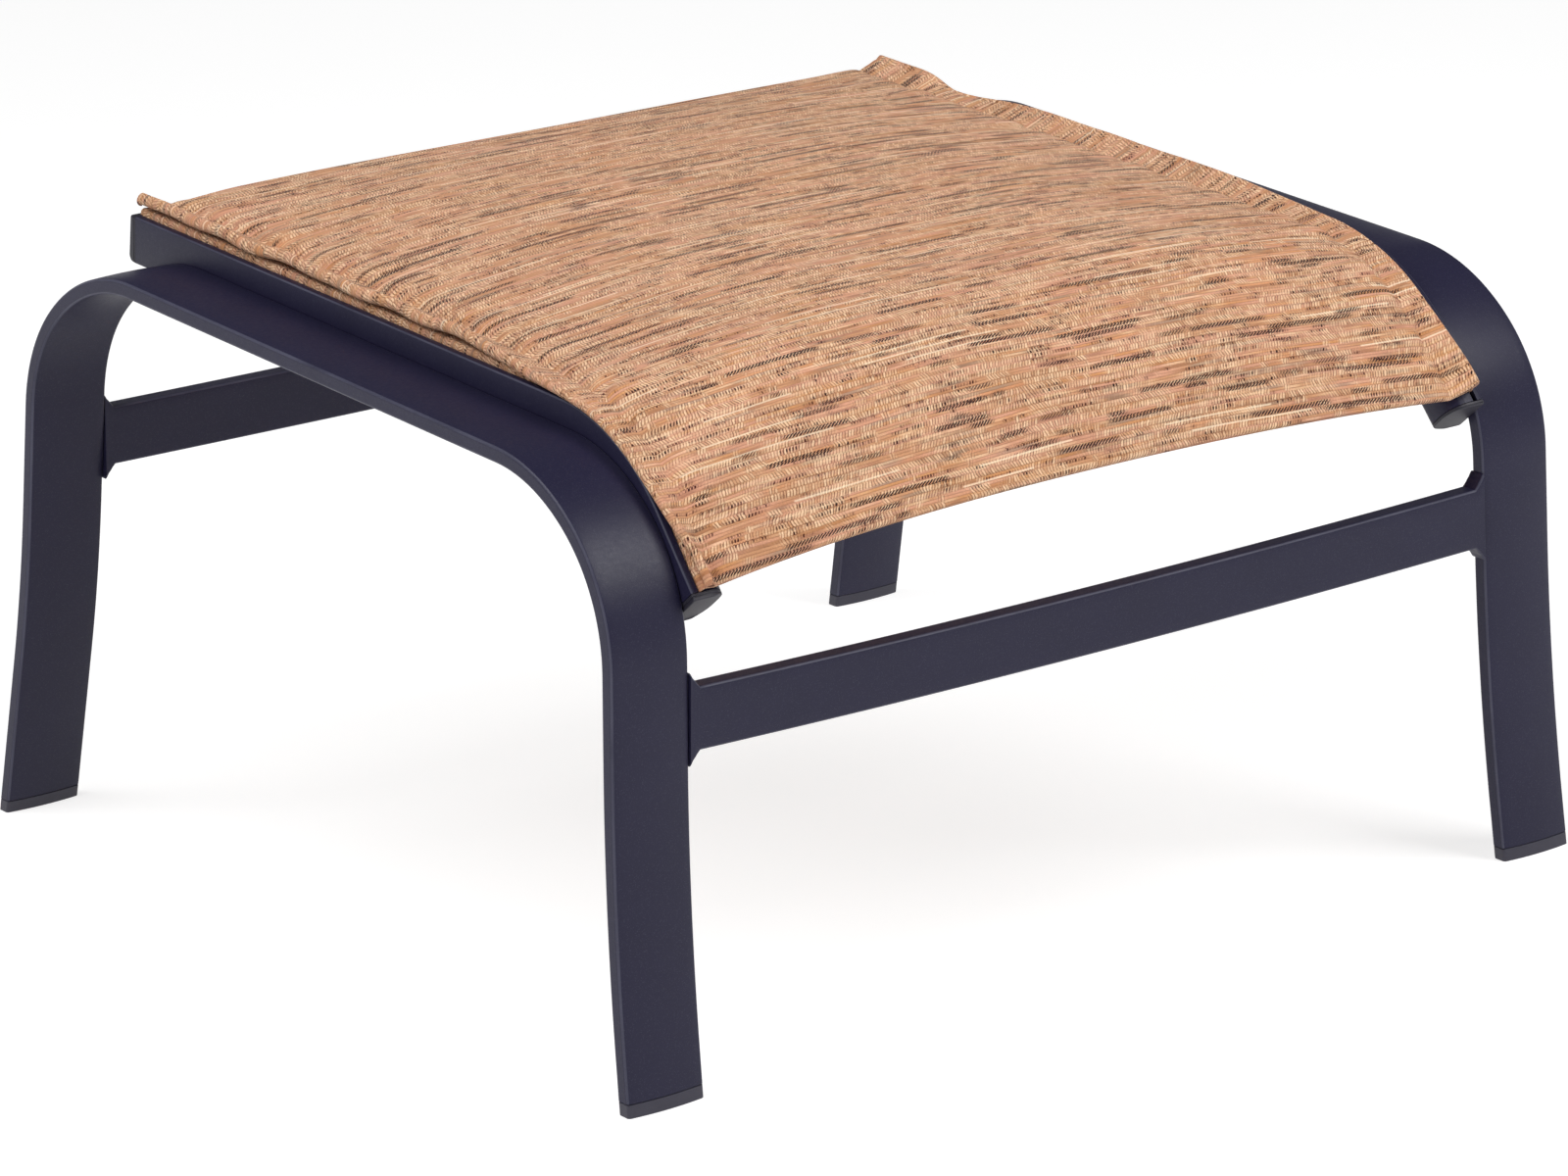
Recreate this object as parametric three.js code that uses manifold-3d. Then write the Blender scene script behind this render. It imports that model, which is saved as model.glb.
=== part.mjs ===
// Outdoor ottoman footstool: two bent flat-tube side frames, two welded stretchers, two bolted sling rails
// and a padded sling held in the rails' slots by spline rods.
// Millimetres. X runs across, -Y is the waterfall front, +Z is up, the floor is z = 0.
import * as THREE from 'three';
import { mergeVertices } from 'three/addons/utils/BufferGeometryUtils.js';
import Module from 'manifold-3d';

const wasm = await Module();
wasm.setup();

// Fits
const clearance = 0.3;
const cutOverrun = 5;

// Overall frame
const overallWidth = 677;
const footDepth = 653;
const topHeight = 352.4;
const topRiseDegrees = 2.26;
const leanDegrees = 1.7;

// Side frame tube
const tubeWidth = 50;
const tubeEdgeThickness = 9;
const tubeCrown = 1.8;
const tubeCornerRadius = 1.1;
const tubeSideWall = 4;
const tubeWall = 2;
const bendFlattening = 0.75;
const bendReferenceRadius = 100;

// The two bends over the seat's ends: each eases from a wider arc on top into a tighter one down the leg
const frontBend = { topRadius: 115, legRadius: 101, legTurnShare: 0.54 };
const rearBend = { topRadius: 123, legRadius: 99, legTurnShare: 0.45 };

// Front leg: the upper part is nearly upright and the foot flares forward
const frontUpperDegrees = 0.6;
const frontFootDegrees = 6.7;
const frontFlareHeight = 109;
const frontFlareRadius = 1500;

// Rear leg: leans back and flares more at the foot
const rearUpperDegrees = 5.7;
const rearFootDegrees = 12.5;
const rearFlareHeight = 149;
const rearFlareRadius = 850;

// Foot inserts
const insertCapHeight = 8;
const insertInset = 0.5;
const insertChamfer = 1.6;
const insertPlugLength = 20;

// Stretchers
const stretcherHeight = 35.5;
const stretcherThickness = 12;
const stretcherWall = 2;
const stretcherCorner = 1.2;
const frontStretcher = { bottom: 190.6, sag: 3.4 };
const rearStretcher = { bottom: 216.6, sag: 1.2 };
const weldLeg = 6.5;

// Sling rails
const railWidth = 24;
const railHeight = 28.5;
const railCorner = 1.3;
const railRise = 14.2;
const railRearSetback = 35.6;
const railBendSetback = 61.8;
const railBendRadius = 125;
const railFrontDegrees = 50;
const railFrontLength = 100.5;
const slotCentre = 6;
const slotWidth = 3.2;
const slotBoreRadius = 4.3;
const slotBoreDepth = 7;
const railWall = 2;

// Rail end caps
const frontCapLength = 4.4;
const rearCapLength = 8.8;
const capFlange = 1.8;
const capStep = 0.6;
const capBevelDepth = 6;
const capPlugLength = 12;

// Spline rods
const rodClearance = 0.6;
const rodEndSetback = 4;

// Rail bolts
const boltShankRadius = 2.5;
const boltHeadRadius = 4.75;
const boltHeadHeight = 2.7;
const boltHoleClearance = 0.4;
const boltGrip = 10;
const boltSetback = 28;
const boltsPerRail = 3;

// Padded sling
const coverThickness = 1.5;
const panelThickness = 1.4;
const weltHeight = 7;
const weltGap = 2.3;
const weltOuterInset = 2.7;
const weltInnerInset = 13.5;
const creaseInset = 25;
const panelLift = 1.9;
const panelEdgeRadius = 1.5;
const crownMiddle = 17;
const frontHemRise = 6;
const rearHemRise = 2.5;
const slingFrontSetback = 3;
const slingRearSetback = 0.8;
const hemArch = 8;
const foamEndSetback = 16;

// Sizes worked out from the ones above
const chamberTop = slotBoreDepth + slotBoreRadius + railWall;
const rodRadius = slotBoreRadius - rodClearance;
const boltHoleRadius = boltShankRadius + boltHoleClearance;
const panelTop = panelLift + panelThickness / 2;
const creaseLift = panelTop + clearance + coverThickness;
const weltLift = panelTop + weltGap;
const halfWidth = overallWidth / 2;
const leanSlope = Math.tan(THREE.MathUtils.degToRad(leanDegrees));
const topSlope = Math.tan(THREE.MathUtils.degToRad(topRiseDegrees));

function material(name, color, roughness, metalness) {
  return new THREE.MeshStandardMaterial({ name, color, roughness, metalness });
}
const materials = {
  frame: material('powder_coated_frame', 0x23232c, 0.5, 0.6),
  rail: material('powder_coated_rail', 0x23232c, 0.46, 0.6),
  plastic: material('black_plastic', 0x1c1c20, 0.55, 0),
  steel: material('stainless_steel', 0xb4b4b6, 0.35, 1),
  rod: material('spline_plastic', 0x9a9a98, 0.6, 0),
  cover: material('woven_cover', 0xc99a6a, 0.9, 0),
  panel: material('sling_mesh', 0xa98a68, 0.85, 0),
  foam: material('open_cell_foam', 0xe6e0cf, 0.95, 0),
};

// A point of a side piece: inset is measured from the outer face of the side frame, which leans inwards.
function sidePoint(side, inset, y, z) {
  return new THREE.Vector3(side * (halfWidth - inset - leanSlope * z), y, z);
}

// Path in the Y-Z plane through corner points, each inner corner rounded with its own radius.
function bentPath(corners, radii) {
  const pieces = [];
  let from = corners[0].clone();
  for (let i = 1; i < corners.length - 1; i += 1) {
    const into = corners[i].clone().sub(corners[i - 1]).normalize();
    const out = corners[i + 1].clone().sub(corners[i]).normalize();
    const turn = Math.atan2(into.cross(out), into.dot(out));
    const tangent = radii[i - 1] * Math.tan(Math.abs(turn) / 2);
    const start = corners[i].clone().addScaledVector(into, -tangent);
    pieces.push({ kind: 'line', from, dir: into, length: start.distanceTo(from) });
    const length = radii[i - 1] * Math.abs(turn);
    pieces.push({ kind: 'arc', from: start, dir: into, turn, radius: radii[i - 1], length });
    from = corners[i].clone().addScaledVector(out, tangent);
  }
  const end = corners[corners.length - 1];
  const last = end.clone().sub(from);
  pieces.push({ kind: 'line', from, dir: last.clone().normalize(), length: last.length() });
  let total = 0;
  for (const piece of pieces) {
    piece.start = total;
    total += piece.length;
  }

  // Point and direction at a distance along the path; past either end the path runs on straight.
  function at(s) {
    const piece = pieces.find((p) => s < p.start + p.length) ?? pieces[pieces.length - 1];
    const along = s - piece.start;
    if (piece.kind === 'line') {
      return { point: piece.from.clone().addScaledVector(piece.dir, along), dir: piece.dir.clone() };
    }
    const angle = piece.turn * (along / piece.length);
    const side = Math.sign(piece.turn);
    const toCentre = new THREE.Vector2(-piece.dir.y, piece.dir.x).multiplyScalar(side * piece.radius);
    const centre = piece.from.clone().add(toCentre);
    const point = piece.from.clone().rotateAround(centre, angle);
    return { point, dir: piece.dir.clone().rotateAround(new THREE.Vector2(), angle) };
  }

  // Mean turn for each unit of length, over a window centred on a distance along the path.
  function turnRate(s, window) {
    const before = at(s - window / 2).dir;
    const after = at(s + window / 2).dir;
    return Math.abs(Math.atan2(before.cross(after), before.dot(after))) / window;
  }

  // Distances along the path for a sweep: both ends, and each arc cut into steps.
  function stations(stepDegrees, minimumSteps) {
    const list = [0];
    for (const piece of pieces.filter((p) => p.kind === 'arc')) {
      const degrees = THREE.MathUtils.radToDeg(Math.abs(piece.turn));
      const steps = Math.max(minimumSteps, Math.ceil(degrees / stepDegrees));
      for (let i = 0; i <= steps; i += 1) list.push(piece.start + (piece.length * i) / steps);
    }
    list.push(total);
    return list.filter((s, i) => i === 0 || s - list[i - 1] > clearance);
  }

  // Ends of the longest straight run, as distances along the path.
  function longestStraight() {
    const lines = pieces.filter((p) => p.kind === 'line');
    const { start, length } = lines.reduce((best, p) => (p.length > best.length ? p : best));
    return [start, start + length];
  }
  return { at, turnRate, stations, longestStraight, length: total };
}

// Two corners that replace one, so that two arcs with different radii meet on the line between them.
function splitCorner(before, corner, after, firstRadius, secondRadius, firstTurnShare) {
  const into = corner.clone().sub(before).normalize();
  const out = after.clone().sub(corner).normalize();
  const turn = Math.abs(Math.atan2(into.cross(out), into.dot(out)));
  const firstTurn = firstTurnShare * turn;
  const secondTurn = turn - firstTurn;
  const span = firstRadius * Math.tan(firstTurn / 2) + secondRadius * Math.tan(secondTurn / 2);
  return [
    corner.clone().addScaledVector(into, (-span * Math.sin(secondTurn)) / Math.sin(turn)),
    corner.clone().addScaledVector(out, (span * Math.sin(firstTurn)) / Math.sin(turn)),
  ];
}

// Closed body from rings of points. Each ring is an outline followed by its holes' outlines, flattened.
// Every wall quad is split on the diagonal that starts nearer the middle plane, so that stacked sheets
// stay parallel.
function ringsToGeometry(rings, outline, holes = []) {
  const position = [];
  for (const ring of rings) for (const p of ring) position.push(p.x, p.y, p.z);
  const perRing = rings[0].length;
  const index = [];
  let first = 0;
  for (const loop of [outline, ...holes]) {
    const reversed = THREE.ShapeUtils.isClockWise(loop) === (loop === outline);
    for (let r = 0; r < rings.length - 1; r += 1) {
      for (let i = 0; i < loop.length; i += 1) {
        const j = (i + 1) % loop.length;
        const a = r * perRing + first + (reversed ? j : i);
        const b = r * perRing + first + (reversed ? i : j);
        const c = b + perRing;
        const d = a + perRing;
        const fromA = Math.abs(position[3 * a]) < Math.abs(position[3 * b]);
        index.push(...(fromA ? [a, b, c, a, c, d] : [a, b, d, b, c, d]));
      }
    }
    first += loop.length;
  }
  const faces = THREE.ShapeUtils.triangulateShape(outline, holes);
  const lastRing = (rings.length - 1) * perRing;
  for (const [a, b, c] of faces) {
    index.push(b, a, c);
    index.push(lastRing + a, lastRing + b, lastRing + c);
  }
  return orientedGeometry(position, index);
}

// Indexed geometry whose faces point out: the winding is turned round when the signed volume is negative.
function orientedGeometry(position, index) {
  const at = (i) => new THREE.Vector3(position[3 * i], position[3 * i + 1], position[3 * i + 2]);
  let volume = 0;
  for (let i = 0; i < index.length; i += 3) {
    volume += at(index[i]).dot(at(index[i + 1]).cross(at(index[i + 2])));
  }
  if (volume < 0) {
    for (let i = 0; i < index.length; i += 3) [index[i], index[i + 1]] = [index[i + 1], index[i]];
  }
  const geometry = new THREE.BufferGeometry();
  geometry.setAttribute('position', new THREE.Float32BufferAttribute(position, 3));
  geometry.setIndex(index);
  return geometry;
}

function toSolid(geometry) {
  const bare = geometry.clone();
  bare.deleteAttribute('normal');
  bare.deleteAttribute('uv');
  const merged = mergeVertices(bare);
  return new wasm.Manifold(new wasm.Mesh({
    numProp: 3,
    vertProperties: new Float32Array(merged.attributes.position.array),
    triVerts: new Uint32Array(merged.index.array),
  }));
}

function toGeometry(solid) {
  const mesh = solid.getMesh();
  const geometry = new THREE.BufferGeometry();
  geometry.setAttribute('position', new THREE.Float32BufferAttribute(mesh.vertProperties, 3));
  geometry.setIndex(Array.from(mesh.triVerts));
  return geometry;
}

function polar(centreU, centreV, radius, angle) {
  return new THREE.Vector2(centreU + radius * Math.cos(angle), centreV + radius * Math.sin(angle));
}

const ottoman = new THREE.Group();
ottoman.name = 'ottoman';

function addMesh(name, geometry, material) {
  const flat = geometry.index ? geometry.toNonIndexed() : geometry;
  flat.computeVertexNormals();
  const mesh = new THREE.Mesh(flat, material);
  mesh.name = name;
  ottoman.add(mesh);
}

const sides = [{ side: -1, word: 'left' }, { side: 1, word: 'right' }];

// Side frame path: the convex edge of the tube, from the front foot over the top to the rear foot
const tan = (degrees) => Math.tan(THREE.MathUtils.degToRad(degrees));
const topLineZ = (y) => topHeight + topSlope * y;
const frontFoot = new THREE.Vector2(-footDepth / 2, 0);
const frontFlare = frontFoot.clone().add(
  new THREE.Vector2(tan(frontFootDegrees) * frontFlareHeight, frontFlareHeight),
);
const rearFoot = new THREE.Vector2(footDepth / 2, 0);
const rearFlare = rearFoot.clone().add(
  new THREE.Vector2(-tan(rearFootDegrees) * rearFlareHeight, rearFlareHeight),
);

// Corner where a leg's upper line meets the top line; slope is the leg's run in Y for each unit of height.
function topCorner(flare, slope) {
  const z = (topLineZ(flare.x) - topSlope * slope * flare.y) / (1 - topSlope * slope);
  return new THREE.Vector2(flare.x + slope * (z - flare.y), z);
}
const frontTop = topCorner(frontFlare, tan(frontUpperDegrees));
const rearTop = topCorner(rearFlare, -tan(rearUpperDegrees));
const frontBendCorners = splitCorner(
  frontFlare, frontTop, rearTop, frontBend.legRadius, frontBend.topRadius, frontBend.legTurnShare,
);
const rearBendCorners = splitCorner(
  frontTop, rearTop, rearFlare, rearBend.topRadius, rearBend.legRadius, 1 - rearBend.legTurnShare,
);
const framePath = bentPath(
  [frontFoot, frontFlare, ...frontBendCorners, ...rearBendCorners, rearFlare, rearFoot],
  [
    frontFlareRadius, frontBend.legRadius, frontBend.topRadius,
    rearBend.topRadius, rearBend.legRadius, rearFlareRadius,
  ],
);

// Tube section: u from the outer narrow face inwards, v from the convex broad face to the concave one.
// Both broad faces are crowned, by the square law of the distance from the middle.
function crownAt(u, crown) {
  const t = (2 * u) / tubeWidth - 1;
  return crown * (1 - t * t);
}
// Bending flattens the crown.
function crownOn(s) {
  const bend = Math.min(1, framePath.turnRate(s, tubeWidth) * bendReferenceRadius);
  return tubeCrown * (1 - bendFlattening * bend);
}
function tubeOutline(inset, crown) {
  const lowU = inset;
  const highU = tubeWidth - inset;
  const faceSteps = 4;
  const points = [new THREE.Vector2(lowU, inset + tubeCornerRadius)];
  const faceU = (i) => lowU + tubeCornerRadius + ((highU - lowU - 2 * tubeCornerRadius) * i) / faceSteps;
  for (let i = 0; i <= faceSteps; i += 1) {
    points.push(new THREE.Vector2(faceU(i), inset - crownAt(faceU(i), crown)));
  }
  points.push(new THREE.Vector2(highU, inset + tubeCornerRadius));
  points.push(new THREE.Vector2(highU, tubeEdgeThickness - inset - tubeCornerRadius));
  for (let i = faceSteps; i >= 0; i -= 1) {
    points.push(new THREE.Vector2(faceU(i), tubeEdgeThickness - inset + crownAt(faceU(i), crown)));
  }
  points.push(new THREE.Vector2(lowU, tubeEdgeThickness - inset - tubeCornerRadius));
  return points;
}
// The bore has thick narrow walls, which take the bolts, and thin broad ones.
function boreOutline(gap, crown) {
  const near = tubeWall + gap;
  const far = tubeEdgeThickness - tubeWall - gap;
  const steps = [tubeSideWall + gap, tubeWidth / 2, tubeWidth - tubeSideWall - gap];
  return [
    ...steps.map((u) => new THREE.Vector2(u, near - crownAt(u, crown))),
    ...steps.reverse().map((u) => new THREE.Vector2(u, far + crownAt(u, crown))),
  ];
}

// Ring of a side piece at a distance along the frame path. A level cut keeps the whole ring at one height.
function sideRing(side, s, outline, levelCut) {
  const { point, dir } = framePath.at(s);
  return outline.map(({ x: u, y: v }) => {
    let y = point.x + dir.y * v;
    let z = point.y - dir.x * v;
    if (levelCut) {
      y += (dir.x / dir.y) * (point.y - z);
      z = point.y;
    }
    return sidePoint(side, u, y, z);
  });
}

// Distance along the frame path where it reaches a height, on the front or on the rear leg.
function pathDistanceAtHeight(z, rear) {
  let low = rear ? framePath.length : 0;
  let high = framePath.length / 2;
  const halvings = 40;
  for (let i = 0; i < halvings; i += 1) {
    const middle = (low + high) / 2;
    if (framePath.at(middle).point.y < z) low = middle;
    else high = middle;
  }
  return low;
}

// Rail path: the outer top edge of the rail, from its front end up the waterfall to its rear end
const railTopZ = (y) => topLineZ(y) + railRise;
const railBendY = frontTop.x + railBendSetback;
const railRearY = rearTop.x - railRearSetback;
const railBend = new THREE.Vector2(railBendY, railTopZ(railBendY));
const railFrontAngle = THREE.MathUtils.degToRad(railFrontDegrees);
const railFront = railBend.clone().sub(
  new THREE.Vector2(railFrontLength * Math.cos(railFrontAngle), railFrontLength * Math.sin(railFrontAngle)),
);
const railRear = new THREE.Vector2(railRearY, railTopZ(railRearY));
const railPath = bentPath([railFront, railBend, railRear], [railBendRadius]);

// Bolts are spread evenly along the stretch where both the frame and the rail are straight.
const [, frameStraightEnd] = framePath.longestStraight();
const [railStraightStart] = railPath.longestStraight();
const boltRearY = framePath.at(frameStraightEnd).point.x - boltSetback;
const boltFrontY = railPath.at(railStraightStart).point.x + boltSetback;
const boltDepth = railRise + tubeEdgeThickness / 2;
const boltStations = Array.from({ length: boltsPerRail }, (_, i) => (
  THREE.MathUtils.lerp(boltRearY, boltFrontY, i / (boltsPerRail - 1))
));

// Cylinder along X from one inset to another, at a bolt's place.
function boltCylinder(side, y, radius, insetA, insetB) {
  const z = railTopZ(y) - boltDepth;
  const boltSides = 12;
  const ring = Array.from({ length: boltSides }, (_, i) => (
    polar(y, z, radius, (2 * Math.PI * i) / boltSides)
  ));
  const x = (inset) => side * (halfWidth - inset - leanSlope * z);
  const rings = [insetA, insetB].map((inset) => ring.map((p) => new THREE.Vector3(x(inset), p.x, p.y)));
  return ringsToGeometry(rings, ring);
}

const frameBendStep = 9;
const flareSteps = 3;
function sideFrame(side) {
  const startFront = pathDistanceAtHeight(insertCapHeight, false);
  const startRear = pathDistanceAtHeight(insertCapHeight, true);
  const inner = framePath.stations(frameBendStep, flareSteps).filter((s) => s > startFront && s < startRear);
  const rings = [startFront, ...inner, startRear].map((s) => {
    const level = s === startFront || s === startRear;
    const crown = crownOn(s);
    return [
      ...sideRing(side, s, tubeOutline(0, crown), level),
      ...sideRing(side, s, boreOutline(0, crown), level),
    ];
  });
  let solid = toSolid(ringsToGeometry(rings, tubeOutline(0, tubeCrown), [boreOutline(0, tubeCrown)]));
  for (const y of boltStations) {
    const depth = boltGrip + boltHoleClearance;
    const hole = boltCylinder(side, y, boltHoleRadius, tubeWidth - depth, tubeWidth + cutOverrun);
    solid = solid.subtract(toSolid(hole));
  }
  return toGeometry(solid);
}
for (const { side, word } of sides) addMesh(`${word}_side_frame`, sideFrame(side), materials.frame);

// Foot insert: a chamfered cap under the tube's end and a plug up its bore, both following the leg
function footInsert(side, rear) {
  const levels = [
    { z: 0, inset: insertInset + insertChamfer },
    { z: insertChamfer, inset: insertInset },
    { z: insertCapHeight - clearance, inset: insertInset },
  ];
  const capRings = levels.map(({ z, inset }) => {
    const s = pathDistanceAtHeight(z, rear);
    return sideRing(side, s, tubeOutline(inset, crownOn(s)), true);
  });
  const plugRings = [insertChamfer + insertInset, insertCapHeight + insertPlugLength].map((z) => {
    const s = pathDistanceAtHeight(z, rear);
    return sideRing(side, s, boreOutline(clearance, crownOn(s)), true);
  });
  const cap = toSolid(ringsToGeometry(capRings, tubeOutline(insertInset, tubeCrown)));
  return toGeometry(cap.add(toSolid(ringsToGeometry(plugRings, boreOutline(clearance, tubeCrown)))));
}
for (const { side, word } of sides) {
  addMesh(`${word}_front_foot_insert`, footInsert(side, false), materials.plastic);
  addMesh(`${word}_rear_foot_insert`, footInsert(side, true), materials.plastic);
}

// Stretcher: a rectangular tube between the leaning legs, drawn down a little by the sling's pull,
// with the weld's concave fillet above and below each end.
const quadrants = [[-1, -1], [1, -1], [1, 1], [-1, 1]];
const weldShares = [
  { along: 0, grow: 1 },
  { along: 0.25, grow: 0.42 },
  { along: 0.6, grow: 0.1 },
  { along: 1, grow: 0 },
];
const spanSteps = 8;
function stretcher({ bottom, sag }, rear) {
  const middleZ = bottom + stretcherHeight / 2;
  const leg = framePath.at(pathDistanceAtHeight(middleZ, rear));
  const legNormal = new THREE.Vector2(leg.dir.y, -leg.dir.x);
  const middleY = leg.point.x + (legNormal.x * tubeEdgeThickness) / 2;
  const halfY = stretcherThickness / 2;
  const outlineAt = (grow) => {
    const halfZ = stretcherHeight / 2 + grow;
    return quadrants.flatMap(([sy, sz]) => {
      const a = new THREE.Vector2(sy * halfY, sz * (halfZ - stretcherCorner));
      const b = new THREE.Vector2(sy * (halfY - stretcherCorner), sz * halfZ);
      return sy * sz > 0 ? [a, b] : [b, a];
    });
  };
  const boreHalfZ = stretcherHeight / 2 - stretcherWall;
  const bore = quadrants.map(([sy, sz]) => new THREE.Vector2(sy * (halfY - stretcherWall), sz * boreHalfZ));
  const reach = (z) => halfWidth - tubeWidth - clearance - leanSlope * z;
  const full = reach(middleZ);
  const weld = weldShares.map(({ along, grow }) => (
    { share: 1 - (along * weldLeg) / full, grow: grow * weldLeg }
  ));
  const span = Array.from({ length: spanSteps - 1 }, (_, i) => (
    { share: 1 - (2 * (i + 1)) / spanSteps, grow: 0 }
  ));
  const farWeld = weld.map(({ share, grow }) => ({ share: -share, grow })).reverse();
  const stations = [...weld, ...span, ...farWeld];
  const rings = stations.map(({ share, grow }) => {
    const drop = sag * (1 - share * share);
    return [...outlineAt(grow), ...bore].map(({ x: dy, y: dz }) => {
      const z = middleZ + dz - drop;
      return new THREE.Vector3(share * reach(z), middleY + dy, z);
    });
  });
  return ringsToGeometry(rings, outlineAt(weldLeg), [bore]);
}
addMesh('front_stretcher', stretcher(frontStretcher, false), materials.frame);
addMesh('rear_stretcher', stretcher(rearStretcher, true), materials.frame);

// Rail section: u inwards from the outer face, v down from the top. It is a D with a keyhole slot for the
// sling's edge and a hollow chamber below it.
const railShoulder = [
  { u: 0.54, v: 0.02 },
  { u: 0.75, v: 0.107 },
  { u: 0.917, v: 0.25 },
  { u: 1, v: 0.433 },
].map((share) => new THREE.Vector2(share.u * railWidth, share.v * railHeight));
const railBelly = [
  { u: 1, v: 0.833 },
  { u: 0.942, v: 0.94 },
  { u: 0.792, v: 1 },
].map((share) => new THREE.Vector2(share.u * railWidth, share.v * railHeight));
const railOuterCorner = [
  new THREE.Vector2(railCorner, railHeight),
  new THREE.Vector2(0, railHeight - railCorner),
];
const railTopCorner = [new THREE.Vector2(0, railCorner), new THREE.Vector2(railCorner, 0)];

function keyhole() {
  const half = slotWidth / 2;
  const neck = Math.asin(half / slotBoreRadius);
  const boreSteps = 9;
  const start = -Math.PI / 2 - neck;
  const sweep = -(2 * Math.PI - 2 * neck);
  const round = Array.from({ length: boreSteps + 1 }, (_, i) => (
    polar(slotCentre, slotBoreDepth, slotBoreRadius, start + (sweep * i) / boreSteps)
  ));
  return [new THREE.Vector2(slotCentre - half, 0), ...round, new THREE.Vector2(slotCentre + half, 0)];
}
const railOutline = [...railTopCorner, ...keyhole(), ...railShoulder, ...railBelly, ...railOuterCorner];
const railEnvelope = [...railTopCorner, ...railShoulder, ...railBelly, ...railOuterCorner];

function chamberOutline(gap) {
  const lowU = railWall + gap;
  const highU = railWidth - railWall - gap;
  const lowV = chamberTop + gap;
  const highV = railHeight - railWall - gap;
  const cut = railWidth - railBelly[2].x;
  return [
    new THREE.Vector2(lowU, lowV),
    new THREE.Vector2(highU, lowV),
    new THREE.Vector2(highU, highV - cut),
    new THREE.Vector2(highU - cut, highV),
    new THREE.Vector2(lowU, highV),
  ];
}

const domeShares = [{ along: 0.45, step: 0.16 }, { along: 0.8, step: 0.42 }, { along: 1, step: 0.75 }];
const railInset = tubeWidth + clearance;
function railRing(side, station, outline, along = 0) {
  const down = new THREE.Vector2(station.dir.y, -station.dir.x);
  return outline.map(({ x: u, y: v }) => {
    const y = station.point.x + down.x * v + station.dir.x * along;
    const z = station.point.y + down.y * v + station.dir.y * along;
    return sidePoint(side, railInset + u, y, z);
  });
}

const railBendStep = 6;
const railBendSteps = 4;
function slingRail(side) {
  const chamber = chamberOutline(0);
  const stations = railPath.stations(railBendStep, railBendSteps);
  const rings = stations.map((s) => [
    ...railRing(side, railPath.at(s), railOutline),
    ...railRing(side, railPath.at(s), chamber),
  ]);
  let solid = toSolid(ringsToGeometry(rings, railOutline, [chamber]));
  for (const y of boltStations) {
    const farSide = railInset + railWidth + cutOverrun;
    const hole = boltCylinder(side, y, boltHoleRadius, railInset - cutOverrun, farSide);
    solid = solid.subtract(toSolid(hole));
  }
  return toGeometry(solid);
}
for (const { side, word } of sides) addMesh(`${word}_sling_rail`, slingRail(side), materials.rail);

// Rail end cap: a flange on the rail's outline, a domed end inside it and a plug in the chamber.
// The rear cap is bevelled underneath.
function railCap(side, rear) {
  const station = railPath.at(rear ? railPath.length : 0);
  const outward = rear ? 1 : -1;
  const length = rear ? rearCapLength : frontCapLength;
  const middle = new THREE.Vector2(railWidth / 2, railHeight / 2);
  const shrunk = (step) => {
    const scale = new THREE.Vector2(1 - (2 * step) / railWidth, 1 - (2 * step) / railHeight);
    return railEnvelope.map((p) => p.clone().sub(middle).multiply(scale).add(middle));
  };
  const dome = length - capFlange;
  const profile = [
    { along: clearance, step: 0 },
    { along: capFlange, step: 0 },
    { along: capFlange + capStep, step: capStep },
    { along: capFlange + domeShares[0].along * dome, step: domeShares[0].step * dome },
    { along: capFlange + domeShares[1].along * dome, step: domeShares[1].step * dome },
    { along: length, step: domeShares[2].step * dome },
  ];
  const body = ringsToGeometry(
    profile.map(({ along, step }) => railRing(side, station, shrunk(step), outward * along)),
    railEnvelope,
  );
  const plugOutline = chamberOutline(clearance);
  const plug = ringsToGeometry(
    [-capPlugLength, capFlange].map((along) => railRing(side, station, plugOutline, outward * along)),
    plugOutline,
  );
  const solid = toSolid(body).add(toSolid(plug));
  return toGeometry(rear ? solid.subtract(toSolid(capBevel(side, station))) : solid);
}

// Wedge that bevels the rear cap's underside, from the end of its flange to its tip
function capBevel(side, station) {
  const wedge = [
    new THREE.Vector2(capFlange, railHeight + cutOverrun),
    new THREE.Vector2(capFlange, railHeight),
    new THREE.Vector2(rearCapLength, railHeight - capBevelDepth),
    new THREE.Vector2(rearCapLength + cutOverrun, railHeight - capBevelDepth),
    new THREE.Vector2(rearCapLength + cutOverrun, railHeight + cutOverrun),
  ];
  const down = new THREE.Vector2(station.dir.y, -station.dir.x);
  const wedgeRing = (inset) => wedge.map(({ x: along, y: v }) => sidePoint(
    side,
    inset,
    station.point.x + down.x * v + station.dir.x * along,
    station.point.y + down.y * v + station.dir.y * along,
  ));
  const insets = [railInset - cutOverrun, railInset + railWidth + cutOverrun];
  return ringsToGeometry(insets.map(wedgeRing), wedge);
}
for (const { side, word } of sides) {
  addMesh(`${word}_front_rail_cap`, railCap(side, false), materials.plastic);
  addMesh(`${word}_rear_rail_cap`, railCap(side, true), materials.plastic);
}

// Spline rod: lies in the keyhole's bore and holds the hem of the sling
function splineRod(side) {
  const rodSides = 8;
  const outline = Array.from({ length: rodSides }, (_, i) => (
    polar(slotCentre, slotBoreDepth, rodRadius, (2 * Math.PI * (i + 0.5)) / rodSides)
  ));
  const bends = railPath.stations(railBendStep, railBendSteps).slice(1, -1);
  const stations = [rodEndSetback, ...bends, railPath.length - rodEndSetback];
  return ringsToGeometry(stations.map((s) => railRing(side, railPath.at(s), outline)), outline);
}
for (const { side, word } of sides) addMesh(`${word}_spline_rod`, splineRod(side), materials.rod);

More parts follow.
